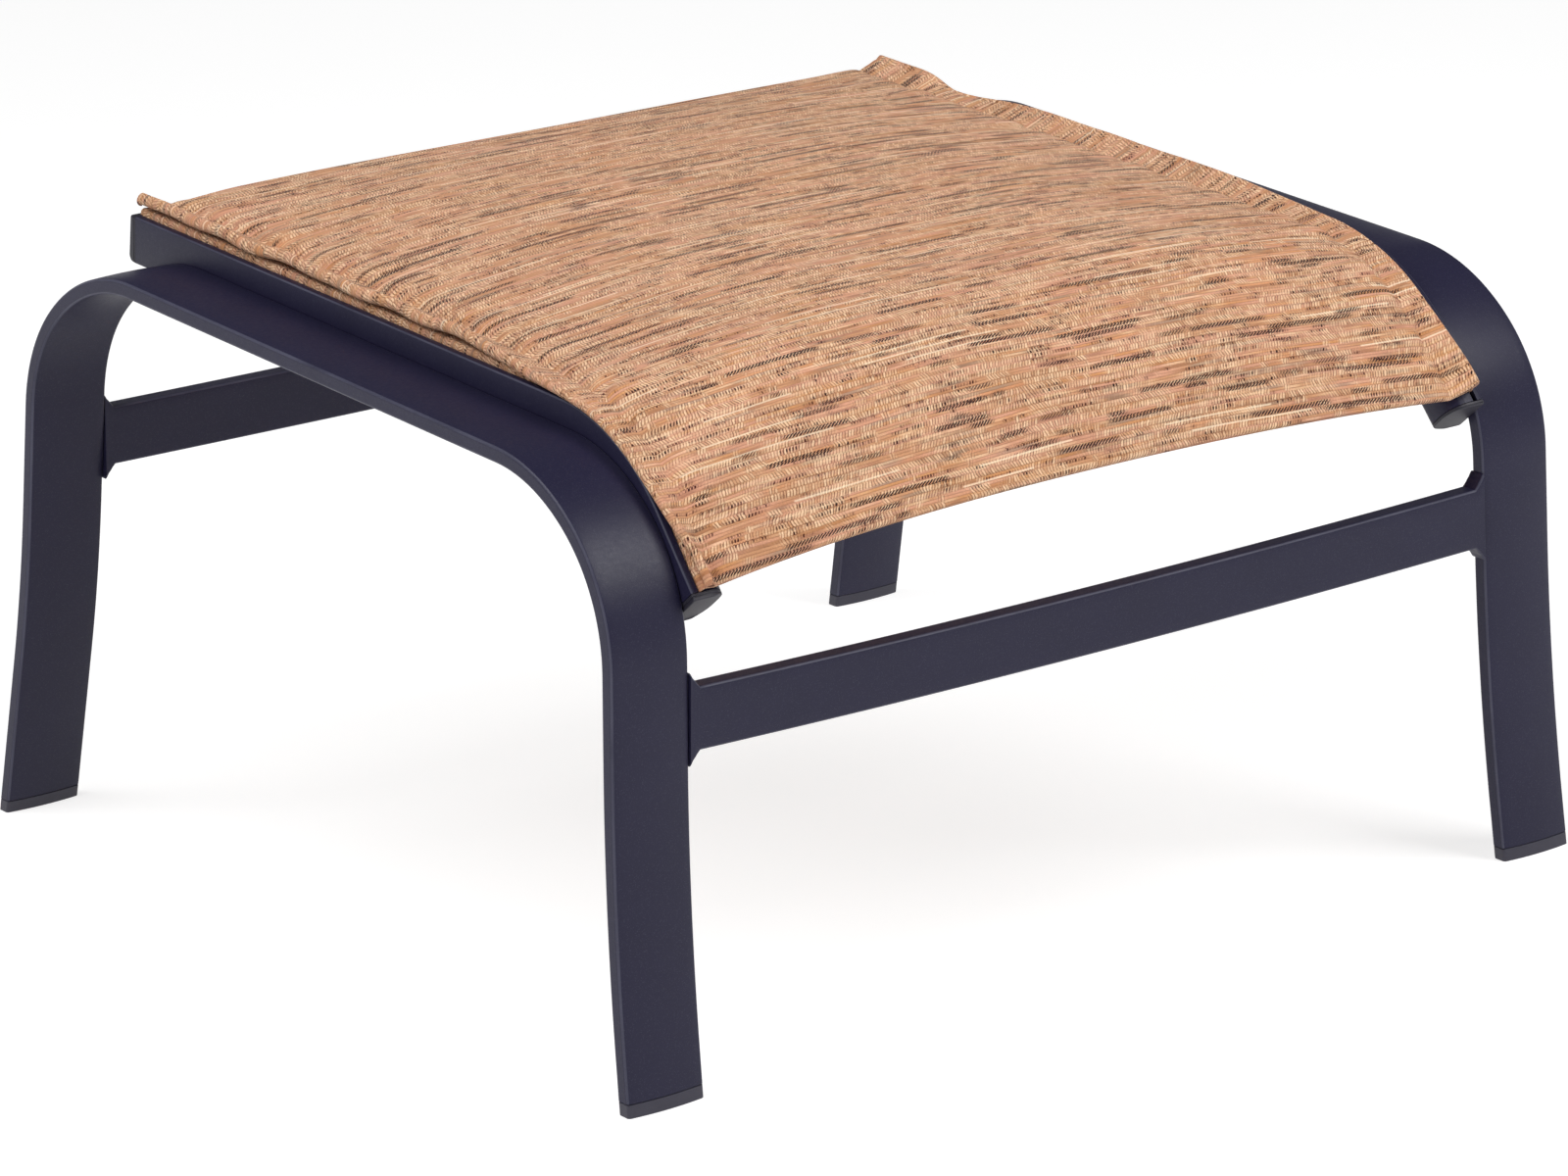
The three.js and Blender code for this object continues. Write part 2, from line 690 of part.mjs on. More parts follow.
// Rail bolt: a button head on the rail's inner face and a shank through the rail into the frame
function railBolt(side, y) {
  const z = railTopZ(y) - boltDepth;
  const shankLength = railWidth + clearance + boltGrip;
  const tip = boltShankRadius * 0.3;
  const dome = boltHeadRadius * 0.35;
  const profile = [
    new THREE.Vector2(0, -shankLength),
    new THREE.Vector2(boltShankRadius - tip, -shankLength),
    new THREE.Vector2(boltShankRadius, -shankLength + tip),
    new THREE.Vector2(boltShankRadius, clearance),
    new THREE.Vector2(boltHeadRadius, clearance),
    new THREE.Vector2(boltHeadRadius, clearance + boltHeadHeight - dome),
    new THREE.Vector2(boltHeadRadius - dome, clearance + boltHeadHeight),
    new THREE.Vector2(0, clearance + boltHeadHeight),
  ];
  const boltSides = 12;
  const geometry = new THREE.LatheGeometry(profile, boltSides);
  geometry.rotateZ((side * Math.PI) / 2);
  const innerFace = sidePoint(side, railInset + railWidth, y, z);
  geometry.translate(innerFace.x, innerFace.y, innerFace.z);
  return toGeometry(toSolid(geometry));
}
const boltWords = ['rear', 'middle', 'front'];
for (const { side, word } of sides) {
  boltStations.forEach((y, i) => {
    addMesh(`${word}_${boltWords[i] ?? i}_rail_bolt`, railBolt(side, y), materials.steel);
  });
}

// Padded sling: three sewn layers carried from rail to rail. Each layer is a section across the seat,
// mirrored about the middle and swept along the rail path, with heights measured square to the path from
// the rail's top.
const slingStart = slingFrontSetback;
const slingEnd = railPath.length - slingRearSetback;

// Share of the full crown at a share t of the sling's length: 0 at the hems, 1 along the middle of the seat.
function crownShare(t) {
  return 1 - Math.abs(2 * t - 1) ** 3;
}
// Rise of the padding across the seat: 0 at the crease, 1 in the middle, steepest next to the crease.
function pillowShare(inset, middleInset) {
  const across = THREE.MathUtils.clamp((inset - creaseInset) / (middleInset - creaseInset), 0, 1);
  return 1 - (1 - across) ** 2.8;
}
function hemRise(t) {
  return frontHemRise + (rearHemRise - frontHemRise) * t;
}
function coverTop(inset, middleInset, t) {
  const rise = hemRise(t) + (crownMiddle - hemRise(t)) * crownShare(t);
  return creaseLift + rise * pillowShare(inset, middleInset);
}
// The under panel hangs a little between the rails and comes up to the cover at both hems.
function panelMiddle(inset, middleInset, t) {
  const hemLift = hemRise(t);
  const change = hemLift * Math.abs(2 * t - 1) ** 24 - panelThickness * crownShare(t);
  return panelLift + change * pillowShare(inset, middleInset);
}

const seatShares = [0.025, 0.1, 0.2, 0.36, 0.56, 0.78];
function seatInsets(middleInset) {
  return seatShares.map((share) => creaseInset + share * (middleInset - creaseInset));
}

// Stations shared by all the layers: the hems, the ends of the foam, the waterfall bend and steps along
// the seat
const flatSteps = 6;
const slingBends = railPath.stations(railBendStep, railBendSteps).slice(1, -1);
const flatStart = slingBends[slingBends.length - 1];
const slingStations = [
  slingStart,
  slingStart + foamEndSetback,
  (slingStart + foamEndSetback + slingBends[0]) / 2,
  ...slingBends,
  ...Array.from({ length: flatSteps - 1 }, (_, i) => (
    flatStart + ((slingEnd - foamEndSetback - flatStart) * (i + 1)) / flatSteps
  )),
  slingEnd - foamEndSetback,
  slingEnd,
];

// Ring of a layer at a station. The half section gives points (inset, height) from the rail to the middle;
// the hems are drawn in towards the middle of the seat, most in the middle of their width.
function slingRing(halfSection, s) {
  const t = (s - slingStart) / (slingEnd - slingStart);
  const middleInset = halfWidth - railInset - leanSlope * railPath.at(s).point.y;
  const { upper, lower } = halfSection(middleInset, t);
  const place = (sign, { x: inset, y: height }) => {
    const across = THREE.MathUtils.clamp((inset - creaseInset) / (middleInset - creaseInset), 0, 1);
    const drawnIn = hemArch * (1 - (1 - across) ** 2) * (1 - 2 * t);
    const station = railPath.at(s + drawnIn);
    const y = station.point.x - station.dir.y * height;
    const z = station.point.y + station.dir.x * height;
    const x = inset === middleInset ? 0 : halfWidth - railInset - leanSlope * z - inset;
    return new THREE.Vector3(sign * x, y, z);
  };
  return [
    ...upper.map((p) => place(-1, p)),
    ...upper.slice(0, -1).reverse().map((p) => place(1, p)),
    ...lower.slice(0, -1).map((p) => place(1, p)),
    ...lower.slice().reverse().map((p) => place(-1, p)),
  ];
}
function slingLayer(halfSection, stations) {
  const rings = stations.map((s) => slingRing(halfSection, s));
  return ringsToGeometry(rings, rings[0].map((p) => new THREE.Vector2(p.x, p.z)));
}

// Top cover with the rolled welt along each rail, the crease inside it and the crowned pillow
function coverSection(middleInset, t) {
  const insets = seatInsets(middleInset);
  const weltTop = weltLift + weltHeight;
  const weltMiddle = weltLift + weltHeight / 2;
  const weltCentre = weltOuterInset + weltHeight / 2;
  const rollShare = 0.36;
  const upper = [
    new THREE.Vector2(weltOuterInset, weltMiddle),
    new THREE.Vector2(weltCentre - rollShare * weltHeight, weltMiddle + rollShare * weltHeight),
    new THREE.Vector2(weltCentre, weltTop),
    new THREE.Vector2(weltInnerInset, weltTop - coverThickness),
    new THREE.Vector2(creaseInset, creaseLift),
    ...insets.map((inset) => new THREE.Vector2(inset, coverTop(inset, middleInset, t))),
    new THREE.Vector2(middleInset, coverTop(middleInset, middleInset, t)),
  ];
  const lower = [
    new THREE.Vector2(weltCentre - rollShare * weltHeight, weltMiddle - rollShare * weltHeight),
    new THREE.Vector2(weltCentre, weltLift),
    new THREE.Vector2(weltInnerInset, weltLift),
    new THREE.Vector2(creaseInset, creaseLift - coverThickness),
    ...insets.map((inset) => new THREE.Vector2(inset, coverTop(inset, middleInset, t) - coverThickness)),
    new THREE.Vector2(middleInset, coverTop(middleInset, middleInset, t) - coverThickness),
  ];
  return { upper, lower };
}

// Under panel: the load-bearing sling, which turns down into the slot and ends on the spline rod
function panelSection(middleInset, t) {
  const insets = seatInsets(middleInset);
  const halfSheet = panelThickness / 2;
  const stripEnd = -(slotBoreDepth - rodRadius - clearance);
  const bendLow = panelLift - panelEdgeRadius;
  const upper = [
    new THREE.Vector2(slotCentre - halfSheet, stripEnd),
    new THREE.Vector2(slotCentre - halfSheet, bendLow),
    new THREE.Vector2(slotCentre + panelEdgeRadius, panelLift + halfSheet),
    new THREE.Vector2(creaseInset, panelLift + halfSheet),
    ...insets.map((inset) => new THREE.Vector2(inset, panelMiddle(inset, middleInset, t) + halfSheet)),
    new THREE.Vector2(middleInset, panelMiddle(middleInset, middleInset, t) + halfSheet),
  ];
  const lower = [
    new THREE.Vector2(slotCentre + halfSheet, stripEnd),
    new THREE.Vector2(slotCentre + halfSheet, bendLow),
    new THREE.Vector2(slotCentre + panelEdgeRadius + halfSheet, panelLift - halfSheet),
    new THREE.Vector2(creaseInset, panelLift - halfSheet),
    ...insets.map((inset) => new THREE.Vector2(inset, panelMiddle(inset, middleInset, t) - halfSheet)),
    new THREE.Vector2(middleInset, panelMiddle(middleInset, middleInset, t) - halfSheet),
  ];
  return { upper, lower };
}

// Foam core: fills the pillow between the cover and the under panel, short of the crease and the hems
function foamSection(middleInset, t) {
  const list = [...seatInsets(middleInset).slice(1), middleInset];
  const top = (inset) => coverTop(inset, middleInset, t) - coverThickness - clearance;
  const bottom = (inset) => panelMiddle(inset, middleInset, t) + panelThickness / 2 + clearance;
  return {
    upper: list.map((inset) => new THREE.Vector2(inset, top(inset))),
    lower: list.map((inset) => new THREE.Vector2(inset, bottom(inset))),
  };
}

addMesh('sling_top_cover', slingLayer(coverSection, slingStations), materials.cover);
addMesh('sling_foam_core', slingLayer(foamSection, slingStations.slice(1, -1)), materials.foam);
addMesh('sling_under_panel', slingLayer(panelSection, slingStations), materials.panel);

export default ottoman;
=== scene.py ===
# %% [markdown]
# # An outdoor footstool with a padded sling
# Two bent flat tubes are the legs and the sides, two stretchers are welded between them, and two slotted
# rails hold a padded cloth that curves down at the front. The imported model gives the frame that
# everything rides on. Each piece below is worked out again with finer surfaces, from the same sizes, and
# gets its finish. First the imported model is loaded.

# %% Load the imported model
import math

import bmesh
import bpy
import numpy as np
from mathutils import Matrix, Vector, geometry


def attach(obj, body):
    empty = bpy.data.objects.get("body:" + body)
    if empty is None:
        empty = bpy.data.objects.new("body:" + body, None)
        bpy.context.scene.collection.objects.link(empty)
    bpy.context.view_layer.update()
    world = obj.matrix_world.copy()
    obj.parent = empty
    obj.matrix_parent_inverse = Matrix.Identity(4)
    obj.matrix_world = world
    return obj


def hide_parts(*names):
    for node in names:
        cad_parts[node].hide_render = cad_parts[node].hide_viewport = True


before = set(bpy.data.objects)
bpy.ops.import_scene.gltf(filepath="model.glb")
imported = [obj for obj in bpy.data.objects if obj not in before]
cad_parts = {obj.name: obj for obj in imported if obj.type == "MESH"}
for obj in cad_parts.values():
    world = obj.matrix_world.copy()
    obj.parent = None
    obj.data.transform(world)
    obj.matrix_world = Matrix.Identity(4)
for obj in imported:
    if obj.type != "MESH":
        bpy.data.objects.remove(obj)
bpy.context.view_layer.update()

print("packed pieces:", len(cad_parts))

# %% [markdown]
# ## Shared sizes
# The side frames lean inwards towards the top, and each side piece is placed by how far it lies inwards
# from the outer face of its side frame. So one small function places every point of both sides, and the
# two sides differ by a sign only.

# %% Units, fits and the leaning side planes
mm = 0.001
clearance = 0.3 * mm
sides = {"left": -1, "right": 1}


def slope(degrees):
    return math.tan(math.radians(degrees))


def grid_points(*coordinates):
    """One array of points from an array for each coordinate."""
    return np.stack(np.broadcast_arrays(*coordinates), axis=-1)


half_width, lean_slope = 677 * mm / 2, slope(1.7)
top_height, top_slope = 352.4 * mm, slope(2.26)


def side_points(side, inset, y, z):
    """Points of a side piece: x = side * (half width - inset - lean slope * z), with y and z as given."""
    return grid_points(side * (half_width - inset - lean_slope * z), y, z)


print("outer face at the top, m:", round(half_width - lean_slope * top_height, 4))

# %% [markdown]
# ## Paths with rounded bends
# A bent tube follows straight runs joined by arcs. Along such a path the heading is constant on a
# straight run and turns evenly on an arc. That gives a closed formula for each point, so any number of
# places along the path come out as one array, with no stepping.

# %% Bent path
def unit_circle(angle):
    return grid_points(np.cos(angle), np.sin(angle))


def bent_path(corners, radii):
    """Path through corners, each inner one rounded. At a corner with turn T and radius R the arc starts
    R * tan(T / 2) before it and ends as far after it. On a piece with curvature k the point at a distance
    l from its start lies l * sin(h) / h away, where h = k * l / 2, in the direction heading + h."""
    runs = np.diff(np.asarray(corners, float), axis=0)
    run_headings = np.unwrap(np.arctan2(runs[:, 1], runs[:, 0]))
    turns = np.diff(run_headings)
    radii = np.asarray(radii, float)
    tangents = radii * np.tan(np.abs(turns) / 2)
    straights = np.hypot(runs[:, 0], runs[:, 1]) - np.append(tangents, 0) - np.insert(tangents, 0, 0)
    lengths = np.zeros(2 * len(radii) + 1)
    curvature = np.zeros_like(lengths)
    lengths[0::2] = straights
    lengths[1::2] = radii * np.abs(turns)
    curvature[1::2] = np.sign(turns) / radii
    knots = np.append(0, np.cumsum(lengths))
    headings = run_headings[0] + np.append(0, np.cumsum(curvature * lengths))

    def step(piece, distance):
        half = curvature[piece] * distance / 2
        return (distance * np.sinc(half / np.pi))[..., None] * unit_circle(headings[piece] + half)

    every = np.arange(len(lengths))
    starts = np.asarray(corners[0], float) + np.cumsum(
        np.concatenate([np.zeros((1, 2)), step(every, lengths)])[:-1], axis=0
    )

    def at(s):
        s = np.asarray(s, float)
        piece = np.clip(np.searchsorted(knots, s, side="right") - 1, 0, len(lengths) - 1)
        along = s - knots[piece]
        return starts[piece] + step(piece, along), headings[piece] + curvature[piece] * along

    return at, knots


def split_corner(before, corner, after, first_radius, second_radius, first_share):
    """Two corners that replace one, so that arcs of two radii meet on the line between them. With turns
    a and b and their sum T, the line between is first_radius * tan(a / 2) + second_radius * tan(b / 2)
    long, and cuts that times sin(b) / sin(T) off the first run and sin(a) / sin(T) off the second."""
    before, corner, after = (np.asarray(p, float) for p in (before, corner, after))
    into = (corner - before) / np.linalg.norm(corner - before)
    out = (after - corner) / np.linalg.norm(after - corner)
    turn = math.acos(float(into @ out))
    first = first_share * turn
    second = turn - first
    span = first_radius * math.tan(first / 2) + second_radius * math.tan(second / 2)
    return (
        corner - into * span * math.sin(second) / math.sin(turn),
        corner + out * span * math.sin(first) / math.sin(turn),
    )


_, corner_knots = bent_path([(0, 0), (1, 0), (1, 1)], [0.5])
print("a square corner of 1 m legs, rounded by 0.5 m, is", round(corner_knots[-1], 4), "m long")

# %% [markdown]
# ## Outlines and skins
# A tube, a rail or a plug is one flat outline carried along a path. The outline has real rounded arrises,
# because the thin bright line that an arris catches says more about a tube than its broad faces do. The
# rings of points become a closed body: quads between neighbouring rings, and both ends filled.

# %% Outlines with rounded corners
def rounded_outline(corners, radii, edge_points=0, arc_points=5):
    """Closed outline with each corner rounded. For a corner with half angle A the arc's centre lies
    radius / sin(A) along the bisector and its ends lie radius / tan(A) along both edges."""
    corners = np.asarray(corners, float)
    before = np.roll(corners, 1, axis=0) - corners
    after = np.roll(corners, -1, axis=0) - corners
    before /= np.linalg.norm(before, axis=1)[:, None]
    after /= np.linalg.norm(after, axis=1)[:, None]
    half = np.arccos(np.clip((before * after).sum(1), -1, 1)) / 2
    radii = np.broadcast_to(radii, half.shape)
    bisector = before + after
    bisector /= np.linalg.norm(bisector, axis=1)[:, None]
    centre = corners + bisector * (radii / np.sin(half))[:, None]
    start = corners + before * (radii / np.tan(half))[:, None] - centre
    end = corners + after * (radii / np.tan(half))[:, None] - centre
    turn = np.arctan2(start[:, 0] * end[:, 1] - start[:, 1] * end[:, 0], (start * end).sum(1))
    angle = np.arctan2(start[:, 1], start[:, 0])[:, None] + turn[:, None] * np.linspace(0, 1, arc_points)
    arcs = centre[:, None] + radii[:, None, None] * unit_circle(angle)
    share = np.linspace(0, 1, edge_points + 2)[1:-1, None]
    edges = arcs[:, -1:] * (1 - share) + np.roll(arcs, -1, axis=0)[:, :1] * share
    return np.concatenate([arcs, edges], axis=1).reshape(-1, 2)


def smooth_through(points, steps):
    """Curve through points with steps parts between two of them (Catmull-Rom: at each point the tangent
    is half the step from the point before it to the point after it)."""
    p = np.asarray(points, float)
    p = np.concatenate([2 * p[:1] - p[1:2], p, 2 * p[-1:] - p[-2:-1]])
    t = np.linspace(0, 1, steps, endpoint=False)[None, :, None]
    a, b, c, d = (p[i: len(p) - 3 + i, None] for i in range(4))
    curve = b + t * (c - a) / 2 + t**2 * (a - 2.5 * b + 2 * c - d / 2) + t**3 * (1.5 * (b - c) + (d - a) / 2)
    return np.concatenate([curve.reshape(-1, 2), p[-2:-1]])


rounded_square = rounded_outline([[0, 0], [1, 0], [1, 1], [0, 1]], 0.2)
print("a rounded unit square:", len(rounded_square), "points within", np.ptp(rounded_square, axis=0).round(3))

# %% Skins from rings and grids of points
def make_piece(name, points, faces, uv=None, crease_degrees=35):
    """A mesh object at the origin from an array of points and an array of faces. Faces are turned so
    that they point outwards, and edges sharper than the crease angle stay sharp. The printed volume is
    the sum over all triangles of corner . (corner x corner) / 6."""
    mesh = bpy.data.meshes.new(name)
    mesh.from_pydata(points.reshape(-1, 3).tolist(), [], [list(map(int, f)) for f in faces])
    if uv is not None:
        layer = mesh.uv_layers.new(name="UVMap")
        layer.data.foreach_set("uv", np.asarray(uv, float).ravel())
    body = bmesh.new()
    body.from_mesh(mesh)
    bmesh.ops.recalc_face_normals(body, faces=body.faces)
    volume = body.calc_volume(signed=True)
    open_edges = sum(1 for edge in body.edges if not edge.is_manifold)
    body.to_mesh(mesh)
    body.free()
    mesh.polygons.foreach_set("use_smooth", [True] * len(mesh.polygons))
    mesh.set_sharp_from_angle(angle=math.radians(crease_degrees))
    piece = bpy.data.objects.new(name, mesh)
    bpy.context.scene.collection.objects.link(piece)
    print(f"{name}: {len(mesh.polygons)} faces, {volume * 1e6:.1f} cm3, {open_edges} open edges")
    return piece


def add_attribute(piece, name, values):
    layer = piece.data.attributes.new(name, "FLOAT", "POINT")
    layer.data.foreach_set("value", values.astype(np.float32))


def ring_piece(name, rings, loops, outline, **options):
    """Closed body from rings[ring, point]. Point i of a loop joins point i + 1 and the next ring, and
    both end rings are filled by triangles of the flat outline, whose holes stay open."""
    count, size = rings.shape[:2]
    faces = []
    first = 0
    for length in loops:
        i = np.arange(length)
        j = (i + 1) % length
        row = np.arange(count - 1)[:, None] * size + first
        quads = np.stack([row + i, row + j, row + size + j, row + size + i], axis=-1).reshape(-1, 4)
        faces.extend(quads.tolist())
        first += length
    ends = np.cumsum([0, *loops])
    flat = [[Vector((u, v, 0)) for u, v in outline[a:b]] for a, b in zip(ends[:-1], ends[1:])]
    fill = geometry.tessellate_polygon(flat)
    faces.extend([list(f) for f in fill])
    faces.extend([[k + (count - 1) * size for k in f] for f in fill])
    piece = make_piece(name, rings, faces, **options)
    arris = np.concatenate([arris_share(outline[a:b]) for a, b in zip(ends[:-1], ends[1:])])
    add_attribute(piece, "arris", np.tile(arris, count))
    return piece


def arris_share(outline):
    """1 in the middle of a tight corner of an outline and 0 on its flats: the turn at a point and its
    two neighbours, against an eighth of a circle."""
    step = np.roll(outline, -1, axis=0) - outline
    way = np.arctan2(step[:, 1], step[:, 0])
    turn = np.abs(np.mod(way - np.roll(way, 1) + np.pi, 2 * np.pi) - np.pi)
    length = (np.hypot(*step.T) + np.hypot(*np.roll(step, 1, axis=0).T)) / 2
    near = turn + np.roll(turn, 1) + np.roll(turn, -1)
    return np.clip(near / (np.pi / 4), 0, 1) * (length < 1.2 * mm)


# %% Sheets from grids, and what every piece needs
def layer_piece(name, top, bottom, uv=None, rolled=None, **options):
    """Closed sheet from two grids[row, column] of points, joined round all four edges. Both faces share
    one UV map. Rolled is a value for each column, kept as an attribute."""
    rows, columns = top.shape[:2]
    i, j = np.meshgrid(np.arange(rows - 1), np.arange(columns - 1), indexing="ij")
    a = (i * columns + j).ravel()
    upper = np.stack([a, a + 1, a + columns + 1, a + columns], axis=1)
    lower = upper[:, ::-1] + rows * columns
    rim = np.concatenate([
        np.arange(columns - 1),
        np.arange(rows - 1) * columns + columns - 1,
        (rows - 1) * columns + np.arange(columns - 1, 0, -1),
        np.arange(rows - 1, 0, -1) * columns,
    ])
    after = np.roll(rim, -1)
    wall = np.stack([rim, rim + rows * columns, after + rows * columns, after], axis=1)
    faces = np.concatenate([upper, lower, wall])
    if uv is not None:
        uv = np.tile(uv.reshape(-1, 2), (2, 1))[faces.ravel()]
    piece = make_piece(name, np.concatenate([top, bottom]), faces, uv, **options)
    if rolled is not None:
        add_attribute(piece, "rolled", np.tile(rolled, 2 * rows))
    return piece


def finish_piece(piece, finish, slot, *nodes):
    """Puts a finish on a piece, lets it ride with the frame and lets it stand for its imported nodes."""
    piece.data.materials.append(finish)
    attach(piece, "root")
    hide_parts(*nodes)


# %% [markdown]
# ## A short way to write materials
# A procedural finish is arithmetic on a place: which thread is this, how far along it, is it light or
# dark here. A few helpers keep that arithmetic readable. The finish being made lies on a bench, and each
# helper adds its node there. One fills a node's sockets with numbers or with other nodes' outputs, the
# others add one step of arithmetic, a noise or a blend.

# %% Material helpers
bench = {}


def link(output, socket):
    bench["tree"].links.new(output, socket)


def add_node(kind, sockets=None, **settings):
    """Adds a node. Settings are its menus, and sockets gives a number, a colour or another node's output
    for each of its inputs."""
    node = bench["tree"].nodes.new(kind)
    for name, value in settings.items():
        setattr(node, name, value)
    for key, value in (sockets or {}).items():
        if isinstance(value, bpy.types.NodeSocket):
            link(value, node.inputs[key])
        else:
            node.inputs[key].default_value = value
    return node


def maths(operation, *values):
    """One step of arithmetic on numbers or outputs; gives its output."""
    return add_node("ShaderNodeMath", dict(enumerate(values)), operation=operation).outputs[0]


def times(first, *others):
    """The product of numbers or outputs, one step for each after the first."""
    for other in others:
        first = maths("MULTIPLY", first, other)
    return first


def minus(first, second):
    return maths("SUBTRACT", first, second)


def scaled(value, factor, shift):
    """value * factor + shift."""
    return maths("MULTIPLY_ADD", value, factor, shift)


def ramp_up(value, low, high):
    """0 below low, 1 above high, and smooth between them."""
    sockets = {"Value": value, "From Min": low, "From Max": high}
    return add_node("ShaderNodeMapRange", sockets, interpolation_type="SMOOTHSTEP").outputs["Result"]


def blend_colour(factor, first, second):
    """The first colour where the factor is 0, the second where it is 1."""
    first, second = (c if isinstance(c, bpy.types.NodeSocket) else (*c, 1) for c in (first, second))
    return add_node("ShaderNodeMix", {0: factor, 6: first, 7: second}, data_type="RGBA").outputs[2]


def noise(place, scale, detail=2.0, roughness=0.5):
    """Smooth random value from 0 to 1 that changes over about 1 / scale."""
    sockets = {"Vector": place, "Scale": scale, "Detail": detail, "Roughness": roughness}
    return add_node("ShaderNodeTexNoise", sockets).outputs["Fac"]


def place_at(x, y, z=0.0):
    """A vector from three numbers or outputs."""
    return add_node("ShaderNodeCombineXYZ", {0: x, 1: y, 2: z}).outputs[0]


def parts_of(vector):
    return add_node("ShaderNodeSeparateXYZ", {0: vector}).outputs


# %% Places, shaders and colours
def own_place(kind="Object"):
    """Object coordinates, or the piece's own UV map."""
    return add_node("ShaderNodeTexCoord").outputs[kind]


def attribute(name):
    return add_node("ShaderNodeAttribute", attribute_name=name).outputs["Fac"]


def new_finish(name, **shader_values):
    """A material with one Principled shader, whose constant values sit on its own sockets."""
    finish = bpy.data.materials.new(name)
    finish.use_nodes = True
    bench["tree"] = finish.node_tree
    shader = finish.node_tree.nodes["Principled BSDF"]
    for socket, value in shader_values.items():
        shader.inputs[socket.replace("_", " ")].default_value = value
    return finish, shader


def dress(shader, tone, height, strength, distance, rough=None):
    """Gives a shader its colour and a bump from a height. Rough is a noise and the two values between
    which the roughness follows it."""
    link(tone, shader.inputs["Base Color"])
    bump = {"Strength": strength, "Distance": distance, "Height": height}
    link(add_node("ShaderNodeBump", bump).outputs[0], shader.inputs["Normal"])
    if rough:
        spread = dict(zip(("Value", "To Min", "To Max"), rough))
        link(add_node("ShaderNodeMapRange", spread).outputs[0], shader.inputs["Roughness"])


def linear(red, green, blue):
    """A colour from its screen values, 0 to 255, to the linear values that a shader takes:
    c / 12.92 below 0.04045, and ((c + 0.055) / 1.055) ** 2.4 above it."""
    c = np.array([red, green, blue]) / 255
    return tuple(float(v) for v in np.where(c <= 0.04045, c / 12.92, ((c + 0.055) / 1.055) ** 2.4))


def tones_round(colour, darker, lighter):
    """A darker and a lighter tone of a colour, as shares of it."""
    return (tuple(c * share for c in colour) for share in (darker, lighter))


print("grey 128 as a linear value:", round(linear(128, 128, 128)[0], 3))

# %% [markdown]
# ## Powder coat
# The frame's paint is a fine powder melted on the metal: a deep blue-black with a soft sheen, a surface
# like very fine orange peel, and tiny brighter grains as a painted glint. A flat dark colour would look like
# plastic. The peel is a small bump, and the grains are cells of a fine random pattern of which a few are
# painted lighter, as a glint. The pieces carry an attribute that is 1 on their arrises, and there the finish
# is painted lighter, as the highlight that an arris catches.

# %% Powder coat material
def powder_coat(name, colour, sparkle):
    finish, shader = new_finish(name, Metallic=0.0, Roughness=0.42, IOR=1.5, Specular_IOR_Level=0.29)
    place = own_place()
    grains = add_node("ShaderNodeTexVoronoi", {"Vector": place, "Scale": 2300.0})
    pick = add_node("ShaderNodeSeparateColor", {0: grains.outputs["Color"]})
    bright = ramp_up(pick.outputs[0], 0.85, 1.0)
    cloud = noise(place, 26.0, 3.0)
    deep = blend_colour(cloud, *tones_round(colour, 0.88, 1.14))
    # Painted highlight: lighter along the arrises, as the thin line of light an arris catches.
    arris_highlight = times(ramp_up(attribute("arris"), 0.7, 1.0), scaled(cloud, 0.5, 0.05))
    highlit = blend_colour(arris_highlight, deep, linear(112, 113, 130))
    # Painted glint: the few lighter grains.
    glinted = blend_colour(times(bright, sparkle), highlit, linear(150, 150, 165))
    peel = maths("ADD", noise(place, 1500.0, 2.0), times(cloud, 0.4))
    dress(shader, glinted, peel, 0.3, 0.0002, (noise(place, 420.0, 2.0), 0.36, 0.50))
    return finish


paint_colour = linear(31, 29, 54)
paint = powder_coat("powder_coat_blue_black", paint_colour, 0.05)
print("paint, linear:", [round(c, 4) for c in paint_colour])

# %% [markdown]
# ## Moulded plastic, bolts and the spline rod
# The foot inserts and rail caps are moulded in black plastic. It is a little greyer than the paint, with
# a fine spark-eroded grain instead of sparkle. The bolts are stainless steel with a turned face, which is
# drawn as rings round each head's own middle, and the spline rod is plain extruded plastic with drawing
# lines along it.

# %% Plastic, steel and rod materials
def moulded_plastic(name, colour, grain_scale):
    finish, shader = new_finish(name, Roughness=0.5, IOR=1.5)
    place = own_place()
    grain = noise(place, grain_scale, 4.0, 0.6)
    tone = blend_colour(noise(place, 60.0, 3.0), *tones_round(colour, 0.8, 1.3))
    dress(shader, tone, grain, 0.3, 0.0002, (grain, 0.42, 0.62))
    return finish


plastic = moulded_plastic("moulded_black_plastic", linear(49, 47, 61), 1500.0)
cap_plastic = moulded_plastic("moulded_black_rail_cap", linear(36, 34, 46), 1500.0)
rod_plastic = moulded_plastic("extruded_grey_rod", linear(158, 155, 150), 700.0)


def turned_steel(name):
    finish, shader = new_finish(name, Metallic=1.0, Roughness=0.3)
    x, y, _ = parts_of(own_place("UV"))
    lines = noise(place_at(y, 0.0), 9000.0, 2.0)
    stain = noise(place_at(x, y), 300.0, 3.0)
    tone = blend_colour(stain, linear(150, 150, 154), linear(196, 196, 198))
    dress(shader, tone, lines, 0.2, 0.0001, (lines, 0.22, 0.42))
    return finish


steel = turned_steel("turned_stainless_steel")
print("finishes so far:", [m.name for m in (paint, plastic, cap_plastic, rod_plastic, steel)])

